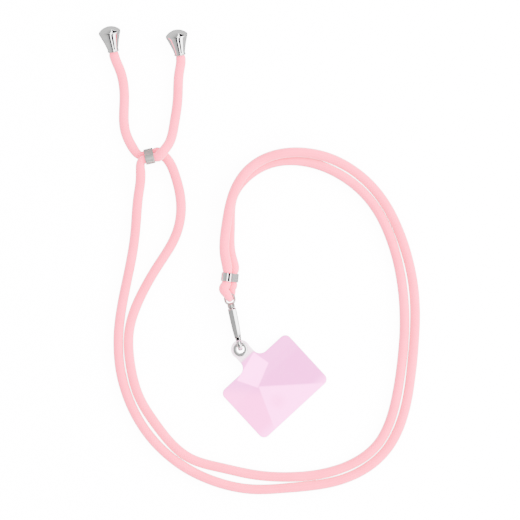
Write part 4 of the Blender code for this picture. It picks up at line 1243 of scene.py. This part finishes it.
inner_points = np.stack([grid_x.ravel(), grid_y.ravel()], axis=1)
keep = inside(inner_points, inset(outline, EDGE_ROUND + FACE_MARGIN))
keep &= from_hole(inner_points) > HOLE_RADIUS + FACE_MARGIN
inner_points = inner_points[keep]
flat_points = np.vstack([rim_in, hole, inner_points])
loops = [list(range(len(rim_in))), list(range(len(rim_in), len(rim_in) + len(hole)))]
edges = [(a, b) for loop in loops for a, b in zip(loop, loop[1:] + loop[:1])]
corners = [Vector(p) for p in flat_points / MM]
placed, _, triangles, _, _, _ = delaunay_2d_cdt(corners, edges, [], 0, 1e-5)
placed = np.array([tuple(p) for p in placed]) * MM
triangles = np.array([t for t in triangles if len(t) == 3])
middles = placed[triangles].mean(axis=1)
triangles = triangles[inside(middles, rim_in) & (from_hole(middles) > HOLE_RADIUS * HOLE_TOLERANCE)]
print("patch faces:", len(triangles), "triangles on each side")

# %% Patch edge and hole
quarter = np.radians(np.linspace(0, 90, 5))
inward = EDGE_ROUND * (1 - np.cos(quarter))
edge_rows = np.concatenate([inward[::-1], inward])
drop = EDGE_ROUND * (1 - np.sin(quarter))
depth = np.concatenate([drop[::-1], PATCH_THICKNESS - drop])


def at_height(points, height):
    """Flat points with this height added."""
    return np.column_stack([points, np.full(len(points), height)])


wall = np.stack([at_height(inset(outline, d), z) for d, z in zip(edge_rows, depth)])
wall[0, :, :2] = rim_in
wall[-1, :, :2] = rim_in
bore = np.stack([at_height(hole, z) for z in (PATCH_THICKNESS, 0.0)])
lower, upper = at_height(placed, 0.0), at_height(placed, PATCH_THICKNESS)
wall_points, wall_faces = stack_grids([(wall, False, True), (bore, False, True)])
patch_points = np.vstack([lower, upper, wall_points])
patch_points[:, 2] += patch_lift(patch_points)
patch_faces = (
    [list(t)[::-1] for t in triangles]
    + [list(t) for t in triangles + len(lower)]
    + [list(f) for f in wall_faces + len(lower) + len(upper)]
)

# %% [markdown]
# ## Tinted plastic
# The sheet is soft and tinted, lilac shading into pink, with pale painted reflections in zones with
# straight borders. Each zone is a mask worked out from its borders: which side of a line a point is
# on. The tab is clearer than the body, so it lets more of the floor show.

# %% Clear plastic material
CLEAR_LILAC = (0.540, 0.078, 0.370, 1.0)
CLEAR_PINK = (0.760, 0.098, 0.440, 1.0)
PAINTED_REFLECTION_PALE = (0.980, 0.170, 0.670, 1.0)
CLEAR_TAB = (0.480, 0.270, 0.380, 1.0)

clear_plastic, tree, shader = new_material("clear_soft_plastic")
object_point = add_node(tree, "ShaderNodeTexCoord").outputs["Object"]
turned_point = add_node(
    tree, "ShaderNodeMapping", {"Vector": object_point, "Rotation": (0.0, 0.0, -PATCH_TURN)}
).outputs[0]
own = add_node(tree, "ShaderNodeSeparateXYZ", {0: turned_point})
haze = add_node(tree, "ShaderNodeTexNoise", {"Vector": turned_point, "Scale": 28.0, "Detail": 2.0})


def beside(start, end, soft=0.5):
    """1 on the left of the line from one point to another, 0 on its right: the distance from the
    line, ramped. Points are in millimetres on the patch."""
    along = unit(np.subtract(end, start))
    offset = float(along[1] * start[0] - along[0] * start[1])
    side = math_node(tree, "MULTIPLY", own.outputs[0], -float(along[1]))
    side = math_node(tree, "MULTIPLY_ADD", own.outputs[1], float(along[0]), side)
    return ramp(tree, side, (-offset - soft) * MM, (soft - offset) * MM)


def enclosed(corners, soft=0.5):
    """1 inside a shape with straight sides, its corners listed anticlockwise."""
    share = beside(corners[0], corners[1], soft)
    for first, second in zip(corners[1:], corners[2:] + corners[:1]):
        share = math_node(tree, "MULTIPLY", share, beside(first, second, soft))
    return share


# %% Zones of the tint, and pale zones of painted reflection
# The neck, wedge and edge zones are painted reflections: pale colour that stands in for light
# mirrored by the sheet
neck_reflection_share = enclosed([(5.4, 27.5), (-16.5, 21.0), (-9.4, 7.25), (7.9, 15.0)], 0.6)
right_border = beside((27.4, -22.2), (7.4, -5.7), 0.9)
left_border = beside((-8.1, 8.2), (-18.9, -18.6), 0.7)
wedge_reflection_share = math_node(tree, "MULTIPLY", right_border, left_border)
# The painted reflection in the wedge is dimmer round this spot
DIM_SPOT = (-5.6 * MM, -9.0 * MM, 0.0)
spot = add_node(
    tree, "ShaderNodeVectorMath", {0: turned_point, 1: DIM_SPOT}, operation="DISTANCE"
).outputs[1]
wedge_reflection_share = math_node(tree, "MULTIPLY", wedge_reflection_share, ramp(tree, spot, 1 * MM, 8 * MM, 0.45, 1.0))
edge_reflection_share = ramp(tree, own.outputs[1], -14 * MM, -23 * MM)
pink_share = ramp(tree, math_node(tree, "ADD", own.outputs[0], own.outputs[1]), 2 * MM, -14 * MM)
tab_share = ramp(tree, own.outputs[1], 27 * MM, 29.5 * MM)
tint_and_painted_reflection = mix_colour(tree, pink_share, CLEAR_LILAC, CLEAR_PINK)
# Lay the pale painted reflections over the tint
for share in (neck_reflection_share, wedge_reflection_share, math_node(tree, "MULTIPLY", edge_reflection_share, 0.7)):
    tint_and_painted_reflection = mix_colour(tree, share, tint_and_painted_reflection, PAINTED_REFLECTION_PALE)
tint_and_painted_reflection = mix_colour(tree, tab_share, tint_and_painted_reflection, CLEAR_TAB)
handled = add_node(
    tree, "ShaderNodeGroup", {"Smudge Scale": 90.0, "Scratch Scale": 500.0}, node_tree=marks
)
tree.links.new(object_point, handled.inputs["Point"])
rough = math_node(tree, "MULTIPLY_ADD", handled.outputs["Smudge"], 0.12, 0.20)
opacity = math_node(tree, "MULTIPLY_ADD", tab_share, -0.35, 0.97)
soft_bump = add_node(
    tree, "ShaderNodeBump", {"Strength": 0.10, "Distance": 0.0003, "Height": haze.outputs[0]}
)
tree.links.new(tint_and_painted_reflection, shader.inputs["Base Color"])
tree.links.new(rough, shader.inputs["Roughness"])
tree.links.new(opacity, shader.inputs["Alpha"])
tree.links.new(soft_bump.outputs[0], shader.inputs["Normal"])
shader.inputs["IOR"].default_value = 1.48

print("plastic material:", len(tree.nodes), "nodes")

# %% Patch piece
patch = new_piece(
    "patch_clear", place(patch_points, np.zeros(3), patch_along, patch_towards_tab, UP),
    patch_faces, clear_plastic, 50,
)
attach(patch, "hook")
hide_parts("patch")

# %% [markdown]
# ## Floor and light
# The picture is a bright catalogue shot: a pure white sheet without a visible shadow, light from all
# around, and most of it from the right. The sheet glows for the camera only, so that it stays white
# without lighting the strap from below. Polished metal shows what surrounds it: grey on the left,
# white on the right, and narrow black cards overhead that draw the dark stripes on the fittings.

# %% Floor
FLOOR_HALF = 6.0
FLOOR_HEIGHT = -0.1 * MM
SHEET_GLOW = 12.0
HORIZON_GLOW = 14.0
SHEET_GREY = (0.42, 0.42, 0.42, 1.0)
SHEET_MIRRORED = (0.11, 0.11, 0.11, 1.0)

floor_mesh = bpy.data.meshes.new("floor")
floor_corners = [(-1, -1), (1, -1), (1, 1), (-1, 1)]
floor_points = [(x * FLOOR_HALF, y * FLOOR_HALF, FLOOR_HEIGHT) for x, y in floor_corners]
floor_mesh.from_pydata(floor_points, [], [(0, 1, 2, 3)])
floor = new_object("floor", floor_mesh)
floor_finish, tree, shader = new_material("white_sheet")
rays = add_node(tree, "ShaderNodeLightPath")
grey = mix_colour(tree, rays.outputs["Is Glossy Ray"], SHEET_GREY, SHEET_MIRRORED)
glow = math_node(tree, "MULTIPLY", rays.outputs["Is Camera Ray"], SHEET_GLOW)
tree.links.new(grey, shader.inputs["Base Color"])
tree.links.new(glow, shader.inputs["Emission Strength"])
shader.inputs["Emission Color"].default_value = (1.0, 1.0, 1.0, 1.0)
shader.inputs["Roughness"].default_value = 0.9
shader.inputs["Specular IOR Level"].default_value = 0.0
floor_mesh.materials.append(floor_finish)
print("floor:", 2 * FLOOR_HALF, "m across")

# %% [markdown]
# ## What surrounds the strap
# A world shader can give each direction its own brightness. Two angles describe a direction: how far
# it leans to the right and how far to the back. Ramps of those angles make the grey and the white
# side, and strips of them make the black cards.

# %% Studio surroundings
world = bpy.data.worlds.new("studio")
bpy.context.scene.world = world
world.use_nodes = True
tree = world.node_tree
tree.nodes.clear()
direction = add_node(tree, "ShaderNodeTexCoord").outputs["Generated"]
axes = add_node(tree, "ShaderNodeSeparateXYZ", {0: direction})
to_right = math_node(tree, "ARCTAN2", axes.outputs[0], axes.outputs[2])
to_back = math_node(tree, "ARCTAN2", axes.outputs[1], axes.outputs[2])


def strip(angle, start, end, soft=2.0):
    """1 inside a strip of directions between two angles in degrees, 0 outside, with soft edges."""
    start, end, soft = math.radians(start), math.radians(end), math.radians(soft)
    rising = ramp(tree, angle, start - soft, start + soft)
    return math_node(tree, "MULTIPLY", rising, ramp(tree, angle, end - soft, end + soft, 1.0, 0.0))


LEFT_GREY = (1.00, 0.60)
RIGHT_WHITE = 7.0
CARD_LIGHT = 0.004
# Black cards, in degrees: from and to towards the right, from and to towards the back
CARDS = (
    (22.0, 89.0, -18.0, 89.0),
    (-8.0, 24.0, -88.0, -43.0),
    (38.0, 66.0, -88.0, -43.0),
    (-30.0, 20.0, -42.0, -19.0),
)
left_level = ramp(tree, to_right, math.radians(-85), math.radians(-10), *LEFT_GREY)
right_share = ramp(tree, to_right, math.radians(2), math.radians(8))
level = mix_value(tree, right_share, left_level, RIGHT_WHITE)
for right_from, right_to, back_from, back_to in CARDS:
    across = strip(to_right, right_from, right_to)
    cover = math_node(tree, "MULTIPLY", across, strip(to_back, back_from, back_to))
    shade = math_node(tree, "MULTIPLY_ADD", cover, CARD_LIGHT - 1.0, 1.0)
    level = math_node(tree, "MULTIPLY", level, shade)
print(len(CARDS), "black cards")

# %% What each kind of ray meets
ROOM_LEFT = 6.3
ROOM_RIGHT = 9.6
rays = add_node(tree, "ShaderNodeLightPath")
plain = ramp(tree, to_right, math.radians(-90), math.radians(90), ROOM_LEFT, ROOM_RIGHT)
mirrored = mix_value(tree, rays.outputs["Is Glossy Ray"], plain, level)
strength = mix_value(tree, rays.outputs["Is Camera Ray"], mirrored, HORIZON_GLOW)
background = add_node(
    tree, "ShaderNodeBackground", {"Color": (1.0, 1.0, 1.0, 1.0), "Strength": strength}
)
add_node(tree, "ShaderNodeOutputWorld", {"Surface": background.outputs[0]})
print("surroundings:", len(tree.nodes), "nodes")

# %% A large soft lamp at the right
LAMP_SIZE = 1.2
LAMP_POWER = 135.0
LAMP_PLACE = (1.4, 0.25, 0.9)
LAMP_AIM = (-0.01, 0.09, 0.0)

lamp_data = bpy.data.lights.new("soft_lamp", "AREA")
lamp_data.shape = "RECTANGLE"
lamp_data.size = LAMP_SIZE
lamp_data.size_y = LAMP_SIZE
lamp_data.energy = LAMP_POWER
lamp = new_object("soft_lamp", lamp_data)
lamp.location = LAMP_PLACE
aim = Vector(LAMP_AIM) - lamp.location
lamp.rotation_euler = aim.to_track_quat("-Z", "Y").to_euler()
lamp.visible_glossy = False
print("lamp of", LAMP_POWER, "W")
